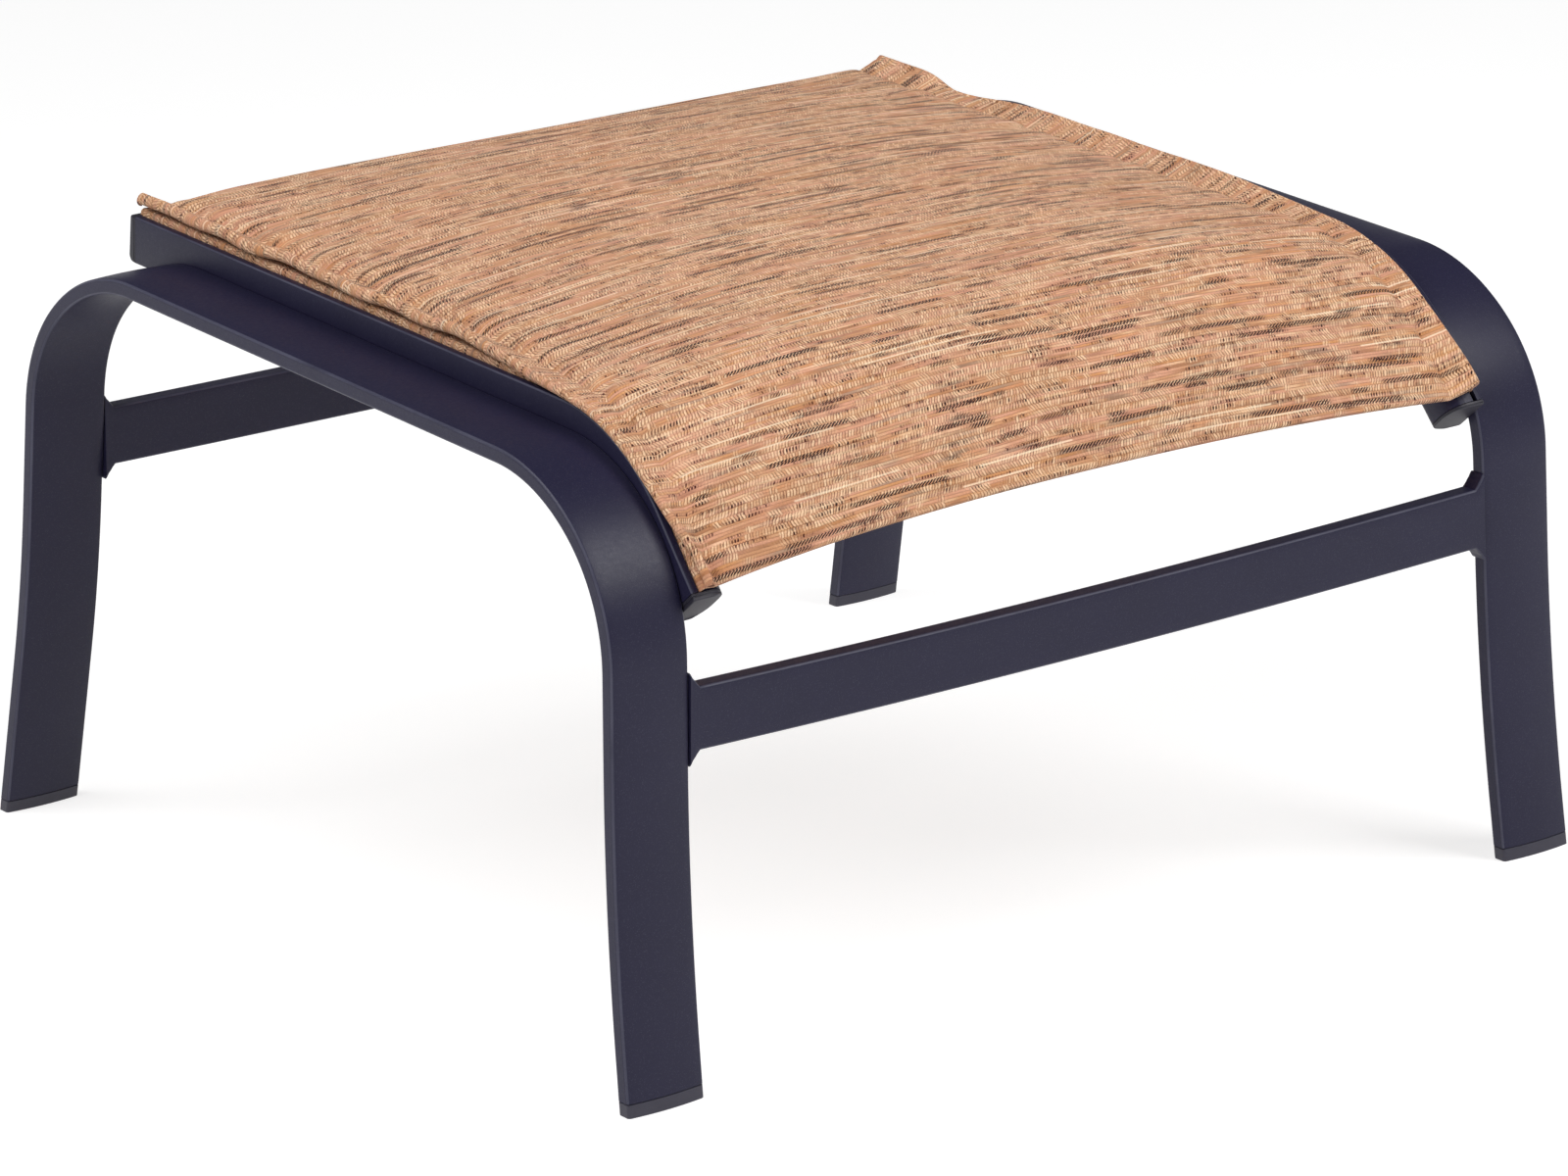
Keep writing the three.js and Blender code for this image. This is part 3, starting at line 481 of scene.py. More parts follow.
# %% [markdown]
# ## The woven cloth
# The cover is an outdoor cloth in which thick yarns run across the seat. Row by row they either lie flat,
# as bundles of fine parallel threads, or are tied down by short slanting loops. Some rows carry a dark
# brown dash that looks like twisted rope, and here and there a thin cream thread shows. Along with that
# the colour drifts between tan, golden orange, pinkish beige and grey. An image could show this, but the
# pattern would stretch where the cloth does and blur close up. So each thing is computed from the cloth's
# own coordinates in millimetres: x along the yarns, y from row to row. The whole number in y / row height
# picks a row, and a random value for that row and for a cell along it decides what lies there.

# %% Rows, cells and stretches of a cloth
unrelated = 7.31


def hump(value, high, low=0.0):
    """1 in the middle of a band and 0 at its edges: 1 - (2 v - 1) ** 2, taken from low to high."""
    centred = scaled(value, 2.0, -1.0)
    return ramp_up(minus(1.0, times(centred, centred)), low, high)


def chance(first, second, seed):
    """Three random values from 0 to 1 for each pair of whole numbers."""
    dice = add_node("ShaderNodeTexWhiteNoise", {"Vector": place_at(first, second, seed)})
    return add_node("ShaderNodeSeparateColor", {0: dice.outputs["Color"]}).outputs


def rows_of(along, height, shift):
    """Number of the row, and the place in it from 0 to 1, for rows of one height in millimetres."""
    t = scaled(along, 1.0 / height, shift)
    return maths("FLOOR", t), maths("FRACT", t)


def drifts(across, row, length, seed, low, high):
    """Soft stretches along a row: noise that changes over about a length, unrelated between rows."""
    place = place_at(times(across, 1.0 / length), times(row, unrelated), seed)
    return ramp_up(noise(place, 1.0, 1.0, 0.4), low, high)


def dashes(across, row, cell, seed, share, shortest, longest, fade=1.5):
    """1 on one stretch in a share of a row's cells. Each cell's random values give the stretch's length,
    its middle and whether it is there: 1 where |place - middle| < length / 2. All in millimetres."""
    shift = chance(row, 0.5, seed)[0]
    t = scaled(across, 1.0 / cell, times(shift, 9.0))
    red, green, blue = chance(maths("FLOOR", t), row, seed + 0.37)
    half = scaled(red, (longest - shortest) / (2 * cell), shortest / (2 * cell))
    middle = scaled(green, 1 - longest / cell, longest / (2 * cell))
    away = maths("ABSOLUTE", minus(maths("FRACT", t), middle))
    inside = ramp_up(minus(half, away), 0.0, fade / cell)
    return times(inside, maths("LESS_THAN", blue, share))


# %% Woven cloth material
loop_pitch, loop_height, yarn_height, dot_height, thread_height, dash_height = 2.0, 3.9, 1.8, 2.6, 1.3, 3.4
tan, pink = linear(205, 151, 112), linear(216, 159, 128)
orange, grey = linear(212, 148, 92), linear(164, 138, 116)
cream, umber = linear(246, 207, 168), linear(120, 72, 48)
dot_brown, dash_brown = linear(82, 42, 30), linear(48, 22, 22)
pale_thread, mean_tone = linear(255, 228, 196), linear(205, 156, 120)


def woven_cloth(name, tint=1.0):
    """Loops, yarns, ribs and pits, dots, cream threads and dashes, each blended over the ones before. The
    heights are those of the rows that carry them, in millimetres as every length here."""
    finish, shader = new_finish(
        name, Roughness=0.85, IOR=1.45, Sheen_Weight=0.08, Sheen_Roughness=0.5, Specular_IOR_Level=0.3
    )
    x, y, _ = parts_of(own_place("UV"))
    across, level = times(x, 1000.0), times(y, 1000.0)
    wander = noise(place_at(times(across, 0.006), times(level, 0.01)), 1.0, 1.0)
    along = scaled(wander, 9.0, level)
    spot = place_at(across, along)
    grain = noise(spot, 0.9, 2.0, 0.6)
    inner = minus(1.0, attribute("rolled"))

    # Loops that tie a row down, slanting one way or the other; each row starts half a loop on
    row, in_row = rows_of(along, loop_height, 0.0)
    lean = scaled(drifts(across, row, 40.0, 3.0, 0.50, 0.62), -1.6, 0.95)
    sway = noise(place_at(times(across, 0.02), times(level, 0.06)), 1.0, 1.0)
    tremble = noise(spot, 0.36, 1.0)
    straight = scaled(row, 0.5, times(across, 1 / loop_pitch))
    loop_place = scaled(sway, 2.4, scaled(tremble, 0.6, straight))
    slanted = minus(loop_place, times(minus(in_row, 0.5), lean))
    size, tone, _ = chance(maths("FLOOR", slanted), row, 5.0)
    rib = hump(maths("FRACT", slanted), 1.0, 0.1)
    looped = maths(
        "MAXIMUM", drifts(across, row, 55.0, 11.0, 0.42, 0.54), drifts(across, row, 13.0, 13.0, 0.52, 0.62)
    )
    strand = times(rib, scaled(hump(in_row, 0.7), 0.75, 0.25))

    # Yarns: each thin row has its own shade, which drifts along it, and some are golden or grey
    thin_row, in_thin_row = rows_of(along, yarn_height, 0.3)
    shade = noise(place_at(times(across, 0.022), times(thin_row, unrelated), 61.0), 1.0, 2.0, 0.6)
    yarn = blend_colour(drifts(across, thin_row, 70.0, 23.0, 0.42, 0.58), tan, pink)
    golden = times(drifts(across, thin_row, 75.0, 31.0, 0.56, 0.66), 0.5)
    greyed = times(drifts(across, thin_row, 50.0, 41.0, 0.60, 0.70), 0.6)
    yarn = blend_colour(greyed, blend_colour(golden, yarn, orange), grey)
    thread = hump(in_thin_row, 0.9)
    groove = minus(1.0, thread)
    # Painted shade in the grooves between the thin rows, where the relief is lower.
    cloth = blend_colour(times(groove, scaled(looped, -0.2, 0.30)), yarn, umber)
    shaded = times(ramp_up(shade, 0.48, 0.32), 0.38, thread)
    cloth = blend_colour(shaded, cloth, umber)
    paled = times(ramp_up(shade, 0.53, 0.70), 0.60, thread)
    cloth = blend_colour(paled, cloth, cream)

    # Painted light on the raised ribs, blended with each loop's own random tone, and painted shade in the
    # pits between them, all through the tied stretches
    deep = times(times(minus(1.0, rib), looped), scaled(size, 0.55, 0.15))
    cloth = blend_colour(deep, cloth, umber)
    lit = times(times(strand, looped), scaled(tone, 0.80, 0.10))
    cloth = blend_colour(lit, cloth, cream)

    # Rows of small dark dots in the pits
    dot_row, in_dot_row = rows_of(along, dot_height, 0.2)
    dot_place = scaled(minus(in_dot_row, 0.5), -0.5, maths("ADD", loop_place, 0.5))
    dot_tone = chance(maths("FLOOR", dot_place), dot_row, 9.0)[1]
    dot_shape = times(hump(maths("FRACT", dot_place), 0.95, 0.35), hump(in_dot_row, 0.9))
    dotted = dashes(across, dot_row, 34.0, 47.0, 0.48, 5.0, 32.0, 4.0)
    dotted = times(times(dotted, dot_shape), scaled(dot_tone, 0.80, 0.15))
    cloth = blend_colour(dotted, cloth, dot_brown)

    # Cream threads; then every difference from the mean tone is made stronger
    fine_row, in_fine_row = rows_of(along, thread_height, 0.6)
    creamy = times(dashes(across, fine_row, 130.0, 57.0, 0.05, 35.0, 110.0), hump(in_fine_row, 0.8), 0.6)
    cloth = blend_colour(creamy, cloth, pale_thread)
    stronger = {0: 1.22, 6: (*mean_tone, 1), 7: cloth}
    cloth = add_node(
        "ShaderNodeMix", stronger, data_type="RGBA", clamp_factor=False, clamp_result=True
    ).outputs[2]

    # Dashes of slanting ticks, like twisted rope, with faint ones between them
    dash_row, in_dash_row = rows_of(along, dash_height, 0.45)
    slant = times(minus(in_dash_row, 0.5), -1.25 * dash_height / loop_pitch)
    in_tick = maths("FRACT", maths("ADD", slant, times(loop_place, 0.85)))
    tick = times(hump(in_tick, 0.9, 0.35), hump(in_dash_row, 0.6))
    dark = dashes(across, dash_row, 95.0, 71.0, 0.17, 16.0, 84.0, 7.0)
    faint = times(dashes(across, dash_row, 50.0, 83.0, 0.14, 6.0, 40.0, 9.0), 0.8)
    broken = times(maths("MAXIMUM", dark, faint), ramp_up(grain, 0.26, 0.42))
    rope = times(broken, tick, inner)
    cloth = blend_colour(rope, cloth, dash_brown)

    # Slow changes of tone, a fine speckle of fibres, and the relief
    speckle = scaled(grain, 0.5, scaled(noise(spot, 0.014, 3.0), 0.20, 0.66))
    toned = add_node("ShaderNodeHueSaturation", {"Color": cloth, "Value": times(speckle, tint)})
    relief = maths("ADD", times(strand, looped), times(groove, -0.4))
    rough_relief = scaled(grain, 0.6, scaled(rope, -0.5, relief))
    dress(shader, toned.outputs[0], rough_relief, 0.7, 0.0006)
    return finish


cloth = woven_cloth("woven_tan_cloth")
print("woven cloth nodes:", len(cloth.node_tree.nodes))

# %% [markdown]
# ## Foam and the sling underneath
# The core is a sheet of quick-drying foam, pale and full of small holes, which nobody sees until the
# cover is cut open. The sling underneath carries the weight. Its edge strips come out of the rails'
# slots and show as a narrow band of the same cloth, so it is the same weave, a little darker.

# %% Foam and under-panel materials
def open_foam(name):
    finish, shader = new_finish(name, Roughness=0.95)
    cells = add_node("ShaderNodeTexVoronoi", {"Vector": own_place(), "Scale": 380.0})
    depth = ramp_up(cells.outputs["Distance"], 0.1, 0.6)
    # Painted shade in the holes: darker where the cells are deep, the same depth that makes the bump.
    dress(shader, blend_colour(depth, linear(176, 168, 148), linear(236, 230, 212)), depth, 0.8, 0.001)
    return finish


foam_finish = open_foam("open_cell_foam")
panel_cloth = woven_cloth("woven_under_panel", tint=0.86)
print("inner finishes:", foam_finish.name, panel_cloth.name)

# %% [markdown]
# ## Side frames
# Each side is one extrusion, 50 mm broad and 9 mm at its edges, with crowned faces. It is bent on edge
# round two formers, over the front leg and over the rear leg, and both legs flare towards the feet. Every
# bend on such a tube looks rounder at one end than at the other, so each is two arcs of different radius.
# Bending also flattens the crown, and a bend that keeps its full crown would catch the light in a streak
# that the real one lacks. The whole tube is one outline carried along one path.

# %% Side frame path
foot_depth = 653 * mm
front_flare_height, front_foot_degrees, front_upper_degrees = 109 * mm, 6.7, 0.6
rear_flare_height, rear_foot_degrees, rear_upper_degrees = 149 * mm, 12.5, 5.7


def top_line_z(y):
    """Height of the tube's straight top: top height + top slope * y."""
    return top_height + top_slope * y


def leg_corners(foot_y, flare_height, foot_slope, upper_slope):
    """Foot, flare corner and top corner of a leg. The top corner is where the upper leg's line meets
    the tube's top line."""
    flare = np.array([foot_y + foot_slope * flare_height, flare_height])
    rise = top_line_z(flare[0]) - flare[1]
    z = flare[1] + rise / (1 - top_slope * upper_slope)
    return np.array([foot_y, 0.0]), flare, np.array([flare[0] + upper_slope * (z - flare[1]), z])


front_foot, front_flare, front_top = leg_corners(
    -foot_depth / 2, front_flare_height, slope(front_foot_degrees), slope(front_upper_degrees)
)
rear_foot, rear_flare, rear_top = leg_corners(
    foot_depth / 2, rear_flare_height, -slope(rear_foot_degrees), -slope(rear_upper_degrees)
)
front_flare_radius, rear_flare_radius = 1500 * mm, 850 * mm
front_leg_radius, front_top_radius, front_leg_share = 101 * mm, 115 * mm, 0.54
rear_leg_radius, rear_top_radius, rear_leg_share = 99 * mm, 123 * mm, 0.45
frame_path, frame_knots = bent_path(
    [
        front_foot, front_flare,
        *split_corner(front_flare, front_top, rear_top, front_leg_radius, front_top_radius, front_leg_share),
        *split_corner(front_top, rear_top, rear_flare, rear_top_radius, rear_leg_radius, 1 - rear_leg_share),
        rear_flare, rear_foot,
    ],
    [
        front_flare_radius, front_leg_radius, front_top_radius,
        rear_top_radius, rear_leg_radius, rear_flare_radius,
    ],
)
top_run_end, frame_length = frame_knots[7], frame_knots[-1]
print("tube length, m:", round(frame_length, 4), "top corners:", front_top.round(4), rear_top.round(4))

# %% Tube outline and its crown
tube_width, tube_edge, tube_crown = 50 * mm, 9 * mm, 1.8 * mm
tube_side_wall, tube_wall = 4 * mm, 2 * mm
arris_radius, bore_radius = 1.5 * mm, 0.6 * mm
bend_flattening, bend_reference = 0.75, 100 * mm


def tube_outline(side_inset, broad_inset, crown, radius=arris_radius):
    """Outline (u from the outer narrow face, v from the convex broad face), set in by the two insets.
    The broad faces are crowned: v moves by crown * (1 - (2 u / width - 1) ** 2), outwards on both."""
    u0, u1 = side_inset, tube_width - side_inset
    v0, v1 = broad_inset, tube_edge - broad_inset
    flat = rounded_outline([[u0, v0], [u1, v0], [u1, v1], [u0, v1]], radius, edge_points=9, arc_points=6)
    bulge = 1 - (2 * flat[:, 0] / tube_width - 1) ** 2
    side = (flat[:, 1] - tube_edge / 2) / (tube_edge / 2 - broad_inset)
    crown = np.atleast_1d(crown)[:, None]
    return grid_points(flat[:, 0], flat[:, 1] + crown * bulge * side)


def crown_on(s):
    """Crown at a distance along the tube: full on a straight run, and less by the share of the turn
    over one tube width, measured against a bend of the reference radius."""
    _, before = frame_path(s - tube_width / 2)
    _, after = frame_path(s + tube_width / 2)
    rate = np.abs(after - before) / tube_width
    return tube_crown * (1 - bend_flattening * np.minimum(1, rate * bend_reference))


def tube_rings(side, s, outline, level=()):
    """Rings of a side tube: point + v * (sin heading, -cos heading). A level ring keeps the path
    point's height, as a cut parallel to the floor does."""
    point, heading = frame_path(s)
    v = outline[..., 1]
    y = point[:, :1] + np.sin(heading)[:, None] * v
    z = point[:, 1:] - np.cos(heading)[:, None] * v
    for k in level:
        y[k] += (point[k, 1] - z[k]) / np.tan(heading[k])
        z[k] = point[k, 1]
    return side_points(side, outline[..., 0], y, z)


def foot_distance(height, rear):
    """Distance along the tube where the straight foot of a leg reaches a height: height / sin(heading)."""
    _, ends = frame_path(np.array([0.0, frame_length]))
    along = height / abs(math.sin(ends[1 if rear else 0]))
    return frame_length - along if rear else along


crown_scan = crown_on(np.linspace(0, frame_length, 500))
print("crown, mm, from", round(crown_scan.min() / mm, 2), "in the bends to", round(crown_scan.max() / mm, 2))

# %% Both side frames
insert_height = 8 * mm
tube_front, tube_rear = foot_distance(insert_height, False), foot_distance(insert_height, True)
frame_stations = np.concatenate([
    [tube_front], np.linspace(tube_front + 6 * mm, tube_rear - 6 * mm, 330), [tube_rear]
])
for word, side in sides.items():
    crown = crown_on(frame_stations)
    outer = tube_outline(0, 0, crown)
    bore = tube_outline(tube_side_wall, tube_wall, crown, bore_radius)
    both = np.concatenate([outer, bore], axis=1)
    rings = tube_rings(side, frame_stations, both, level=(0, -1))
    piece = ring_piece(f"{word}_side_tube", rings, [outer.shape[1], bore.shape[1]], both[0])
    finish_piece(piece, paint, "powder_coat", f"{word}_side_frame")

# %% [markdown]
# ## Foot inserts
# A plug is pressed up each leg, and its cap keeps the tube's edge off the floor. The cap shows as a
# slightly greyer band under a fine dark line. It has the tube's own outline with a rounded rim, so the
# outline is reused, set in by a rim profile from the floor up, and then narrowed to the bore for the plug.

# %% Four foot inserts
rim_radius, rim_inset = 0.5 * mm, 0.05 * mm
rim_turn = np.linspace(0, np.pi / 2, 6)

# Heights and insets of the rim: round at the sole, and cut back under the tube for the dark line
insert_profile = np.array([
    *[(rim_radius * (1 - math.cos(a)), rim_radius * (1 - math.sin(a)) + rim_inset) for a in rim_turn],
    (insert_height - clearance - 0.4 * mm, rim_inset),
    (insert_height - clearance, 0.6 * mm),
])
plug_top, plug_inset = 28 * mm, 0.3 * mm


def foot_insert(name, side, rear):
    """Rings from the floor up: the cap's outline at each level of the rim profile, then the bore's
    outline twice, for the plug."""
    levels = np.append(insert_profile[:, 0], [insert_height - clearance, plug_top])
    s = np.array([foot_distance(z, rear) for z in levels])
    crown = crown_on(s)
    cap = np.stack([tube_outline(i, i, c)[0] for i, c in zip(insert_profile[:, 1], crown)])
    plug = tube_outline(tube_side_wall + plug_inset, tube_wall + plug_inset, crown[-2:], bore_radius)
    outline = np.concatenate([cap, plug])
    rings = tube_rings(side, s, outline, level=range(len(s)))
    return ring_piece(name, rings, [outline.shape[1]], outline[0])


for word, side in sides.items():
    for end, rear in (("front", False), ("rear", True)):
        node = f"{word}_{end}_foot_insert"
        finish_piece(foot_insert(f"{word}_{end}_foot_plug", side, rear), plastic, "black_plastic", node)

# %% [markdown]
# ## Stretchers and their welds
# Two rectangular tubes tie the sides together, and the pull of the sling bows them down a little. Each
# end meets the leg's inner edge at the lean angle and is welded all round. Above and below, the weld is a
# sloping bead with fine ripples, one for each drop of filler. The tube and its beads are one surface here:
# rings across the tube whose height grows over the last few millimetres.

# %% Stretchers
stretcher_height, stretcher_thickness, stretcher_corner = 35.5 * mm, 12 * mm, 1.6 * mm
weld_leg, weld_rise, weld_ripple, weld_ripple_length = 6.5 * mm, 8.2 * mm, 0.25 * mm, 2.6 * mm


def stretcher(name, bottom, sag, rear):
    """Rings at shares t from -1 to 1 of the span: x = t * reach(z), lowered by sag * (1 - t * t). The
    weld adds rise * c * (0.82 + 0.18 * c) to the half height, with c = 1 - d / leg at a distance d from
    the leg, which is a slope that is a little hollow, and ripples it."""
    middle_z = bottom + stretcher_height / 2
    scan = np.linspace(0, frame_length, 8001)
    leg = (scan > frame_length / 2) == rear
    heights, _ = frame_path(scan[leg])
    s = scan[leg][np.argmin(np.abs(heights[:, 1] - middle_z))]
    point, heading = frame_path(s)
    middle_y = point[0] + math.sin(heading) * tube_edge / 2
    reach_middle = half_width - tube_width - clearance - lean_slope * middle_z
    near = np.linspace(0, 1, 12) ** 1.5 * weld_leg
    t = np.concatenate([-1 + near / reach_middle, np.linspace(-0.96, 0.96, 60), 1 - near[::-1] / reach_middle])
    gap = (1 - np.abs(t)) * reach_middle
    closeness = np.clip(1 - gap / weld_leg, 0, 1)
    grow = weld_rise * closeness * (0.82 + 0.18 * closeness)
    outline = rounded_outline(
        [[-1, -1], [1, -1], [1, 1], [-1, 1]] * np.array([stretcher_thickness, stretcher_height]) / 2,
        stretcher_corner, edge_points=5,
    )
    dy = outline[:, 0] + np.zeros((len(t), 1))
    ripple = weld_ripple * np.sin(2 * np.pi * (gap / weld_ripple_length))[:, None] * (closeness[:, None] > 0)
    swell = (grow[:, None] + ripple * closeness[:, None]) * outline[:, 1] / (stretcher_height / 2)
    z = middle_z + outline[:, 1] + swell - (sag * (1 - t * t))[:, None]
    x = t[:, None] * (half_width - tube_width - clearance - lean_slope * z)
    rings = grid_points(x, middle_y + dy, z)
    return ring_piece(name, rings, [len(outline)], outline)


for end, bottom, sag in (("front", 190.6 * mm, 3.4 * mm), ("rear", 216.6 * mm, 1.2 * mm)):
    cross_tube = stretcher(f"{end}_cross_tube", bottom, sag, end == "rear")
    finish_piece(cross_tube, paint, "powder_coat", f"{end}_stretcher")

# %% [markdown]
# ## Sling rails
# Each rail is a D-shaped extrusion with a keyhole slot along its top: the cloth's edge is wrapped round a
# rod inside the slot's round part, and can't pull out through the neck. The rail bends down over the
# front. Its section is a flat outline again, with the keyhole as part of it and a hollow chamber below.

# %% Rail path and section
rail_width, rail_height, rail_corner = 24 * mm, 28.5 * mm, 1.3 * mm
rail_inset = tube_width + clearance
slot_centre, slot_width, slot_bore_radius, slot_bore_depth = 6 * mm, 3.2 * mm, 4.3 * mm, 7 * mm
rail_wall = 2 * mm
rail_rise = 14.2 * mm
rail_bend_y = front_top[0] + 61.8 * mm
rail_rear_y = rear_top[0] - 35.6 * mm
rail_front_angle, rail_front_length, rail_bend_radius = math.radians(50), 100.5 * mm, 125 * mm
rail_bend = np.array([rail_bend_y, top_line_z(rail_bend_y) + rail_rise])
rail_front = rail_bend - rail_front_length * np.array([math.cos(rail_front_angle), math.sin(rail_front_angle)])
rail_rear = np.array([rail_rear_y, top_line_z(rail_rear_y) + rail_rise])
rail_path, rail_knots = bent_path([rail_front, rail_bend, rail_rear], [rail_bend_radius])
rail_bend_end, rail_length = rail_knots[2], rail_knots[-1]
print("rail length, m:", round(rail_length, 4))

rail_size = np.array([rail_width, rail_height])
nose_shares = [
    (0.54, 0.0), (0.75, 0.07), (0.93, 0.21), (1, 0.4), (1, 0.63),
    (0.97, 0.81), (0.87, 0.91), (0.70, 0.965), (0.46, 1),
]
nose = smooth_through(np.array(nose_shares) * rail_size, 5)


def quarter(centre, radius, start, end, count=5):
    """Arc points: centre + radius * (cos, sin) of angles from start to end, in degrees."""
    return np.asarray(centre) + radius * unit_circle(np.radians(np.linspace(start, end, count)))


rail_outer_low = quarter((rail_corner, rail_height - rail_corner), rail_corner, 90, 180)
rail_outer_top = quarter((rail_corner, rail_corner), rail_corner, 180, 270)
neck = math.degrees(math.asin(slot_width / 2 / slot_bore_radius))
bore_arc = quarter((slot_centre, slot_bore_depth), slot_bore_radius, -90 - neck, -450 + neck, 20)
keyhole = np.concatenate([
    [[slot_centre - slot_width / 2, 0]], bore_arc, [[slot_centre + slot_width / 2, 0]],
])
rail_envelope = np.concatenate([rail_outer_top, nose, rail_outer_low])
rail_section = np.concatenate([rail_outer_top, keyhole, nose, rail_outer_low])


def chamber_outline(gap):
    """The hollow under the slot, set in by a gap."""
    low_v = slot_bore_depth + slot_bore_radius + rail_wall + gap
    low_u, high_u = rail_wall + gap, rail_width - rail_wall - gap
    high_v = rail_height - rail_wall - gap
    corners = [[low_u, low_v], [high_u, low_v], [high_u, high_v], [low_u, high_v]]
    return rounded_outline(corners, [0.8 * mm, 1.5 * mm, 10 * mm, 0.8 * mm])


left_rail_forward = 1.4 * mm


def rail_rings(side, s, outline, along=0.0):
    """Rings of a rail piece: the path point, v along (sin heading, -cos heading) and a step along the
    heading, with u as the inset from the rail's outer face. The left rail is bolted on a little further
    forward than the right one."""
    point, heading = rail_path(np.atleast_1d(s) - (left_rail_forward if side < 0 else 0))
    along = np.asarray(along, float)
    along = along[:, None] if along.ndim == 1 else along
    sin, cos = np.sin(heading)[:, None], np.cos(heading)[:, None]
    v = outline[..., 1]
    y = point[:, :1] + sin * v + cos * along
    z = point[:, 1:] - cos * v + sin * along
    return side_points(side, rail_inset + outline[..., 0], y, z)


# %% Both rails
rail_stations = np.linspace(0, rail_length, 150)
rail_chamber = chamber_outline(0)
for word, side in sides.items():
    both = np.concatenate([rail_section, rail_chamber])
    rings = rail_rings(side, rail_stations, both)
    piece = ring_piece(f"{word}_slotted_rail", rings, [len(rail_section), len(rail_chamber)], both)
    finish_piece(piece, paint, "powder_coat", f"{word}_sling_rail")

# %% [markdown]
# ## Rail end caps
# A moulded cap closes each rail end. A flange as big as the rail butts against it, a fine groove follows,
# and the end face slopes back towards the middle of the seat, so that seen from the side it is a slim
# leaf. The rear cap is longer and rounded underneath. All of it is the rail's outline, drawn smaller from
# ring to ring, with a plug behind it that goes up the chamber.

# %% Four rail caps
front_cap_length, rear_cap_length = {-1: 4.4 * mm, 1: 2.9 * mm}, 7.2 * mm
cap_flange, cap_step, cap_round, cap_plug, slope_start = 1.8 * mm, 0.5 * mm, 7.5 * mm, 12 * mm, 13 * mm
cap_rim, cap_taper, rear_slope = 0.8 * mm, 0.9, 0.3


def rail_cap(name, side, rear):
    """Rings at distances along the rail's heading. The rim of the end face is rounded by a quarter
    circle, and the part past the flange is as long as reach says: whole up to slope_start from the outer
    face, and then shorter in proportion, down to a tenth at the inner face. On the rear cap that slope is
    gentler, and its end leans with the height. Underneath the outline is cut off by a quarter ellipse:
    height - round * (1 - sqrt(1 - (run / end) ** 2))."""
    length = rear_cap_length if rear else front_cap_length[side]
    end = length - cap_flange
    turn = np.linspace(0, np.pi / 2, 5)
    flange_along = [clearance, clearance + 0.15 * mm, cap_flange - 0.2 * mm, cap_flange]
    flange_step = [0.15 * mm, 0.0, 0.0, 0.2 * mm]
    between = (end - cap_rim) * np.sin(np.linspace(0.12, np.pi / 2, 10))[:-1] if rear else np.zeros(0)
    past = np.concatenate([[0.05 * mm, 0.35 * mm], between, end - cap_rim + cap_rim * np.sin(turn)])
    rim_step = 0.1 * mm + cap_rim * (1 - np.cos(turn))
    step = np.concatenate([flange_step, [cap_step, cap_step], np.full(len(between), 0.1 * mm), rim_step])
    middle = rail_size / 2
    scale = 1 - 2 * step[:, None, None] / rail_size
    outline = (rail_envelope - middle) * scale + middle
    inwards = np.clip((outline[..., 0] - slope_start) / (rail_width - slope_start), 0, 1)
    reach = 1 - (rear_slope if rear else 1) * cap_taper * inwards
    run = np.concatenate([np.zeros(len(flange_along)), past])[:, None]
    base = np.concatenate([flange_along, np.full(len(past), cap_flange)])[:, None]
    along = base + run * reach
    if rear:
        along = along - run * rear_slope * (1 - outline[..., 1] / rail_height)
        low = rail_height - cap_round * (1 - np.sqrt(1 - np.clip(run / end, 0, 1) ** 2))
        outline[..., 1] = np.minimum(outline[..., 1], low - step[:, None] * 0.4)
    station = rail_length if rear else 0.0
    sign = 1 if rear else -1
    rings = rail_rings(side, np.full(len(along), station), outline, sign * along)
    body = ring_piece(name, rings, [rings.shape[1]], rail_envelope)
    plug_outline = chamber_outline(clearance)
    plug_along = sign * np.array([clearance + 0.2 * mm, -cap_plug])
    plug = ring_piece(
        name + "_stub", rail_rings(side, np.full(2, station), plug_outline, plug_along),
        [len(plug_outline)], plug_outline,
    )
    with bpy.context.temp_override(
        active_object=body, object=body, selected_objects=[body, plug], selected_editable_objects=[body, plug]
    ):
        bpy.ops.object.join()
    return body


for word, side in sides.items():
    for end, rear in (("front", False), ("rear", True)):
        node = f"{word}_{end}_rail_cap"
        finish_piece(rail_cap(f"{word}_{end}_rail_plug", side, rear), cap_plastic, "black_plastic", node)

# %% [markdown]
# ## Bolts and spline rods
# Three button-head bolts hold each rail to its side frame. They sit on the rails' inner faces, under the
# cloth. A bolt is a profile turned round an axis, and its hexagon socket is the same thing with a radius
# that depends on the angle. The spline rods lie hidden in the slots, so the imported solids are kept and
# only get their finish.

# %% Bolts
bolt_shank, bolt_head, bolt_head_height, bolt_grip = 2.5 * mm, 4.75 * mm, 2.7 * mm, 10 * mm
bolt_tip, bolt_sides = 0.7 * bolt_shank, 48
socket_apothem, socket_depth = 1.5 * mm, 1.6 * mm
head_flat = 1.35 * socket_apothem
bolt_depth, bolt_end_gap = rail_rise + tube_edge / 2, 28 * mm
bolt_rear_y = float(frame_path(top_run_end)[0][0]) - bolt_end_gap
bolt_front_y = float(rail_path(rail_bend_end)[0][0]) + bolt_end_gap


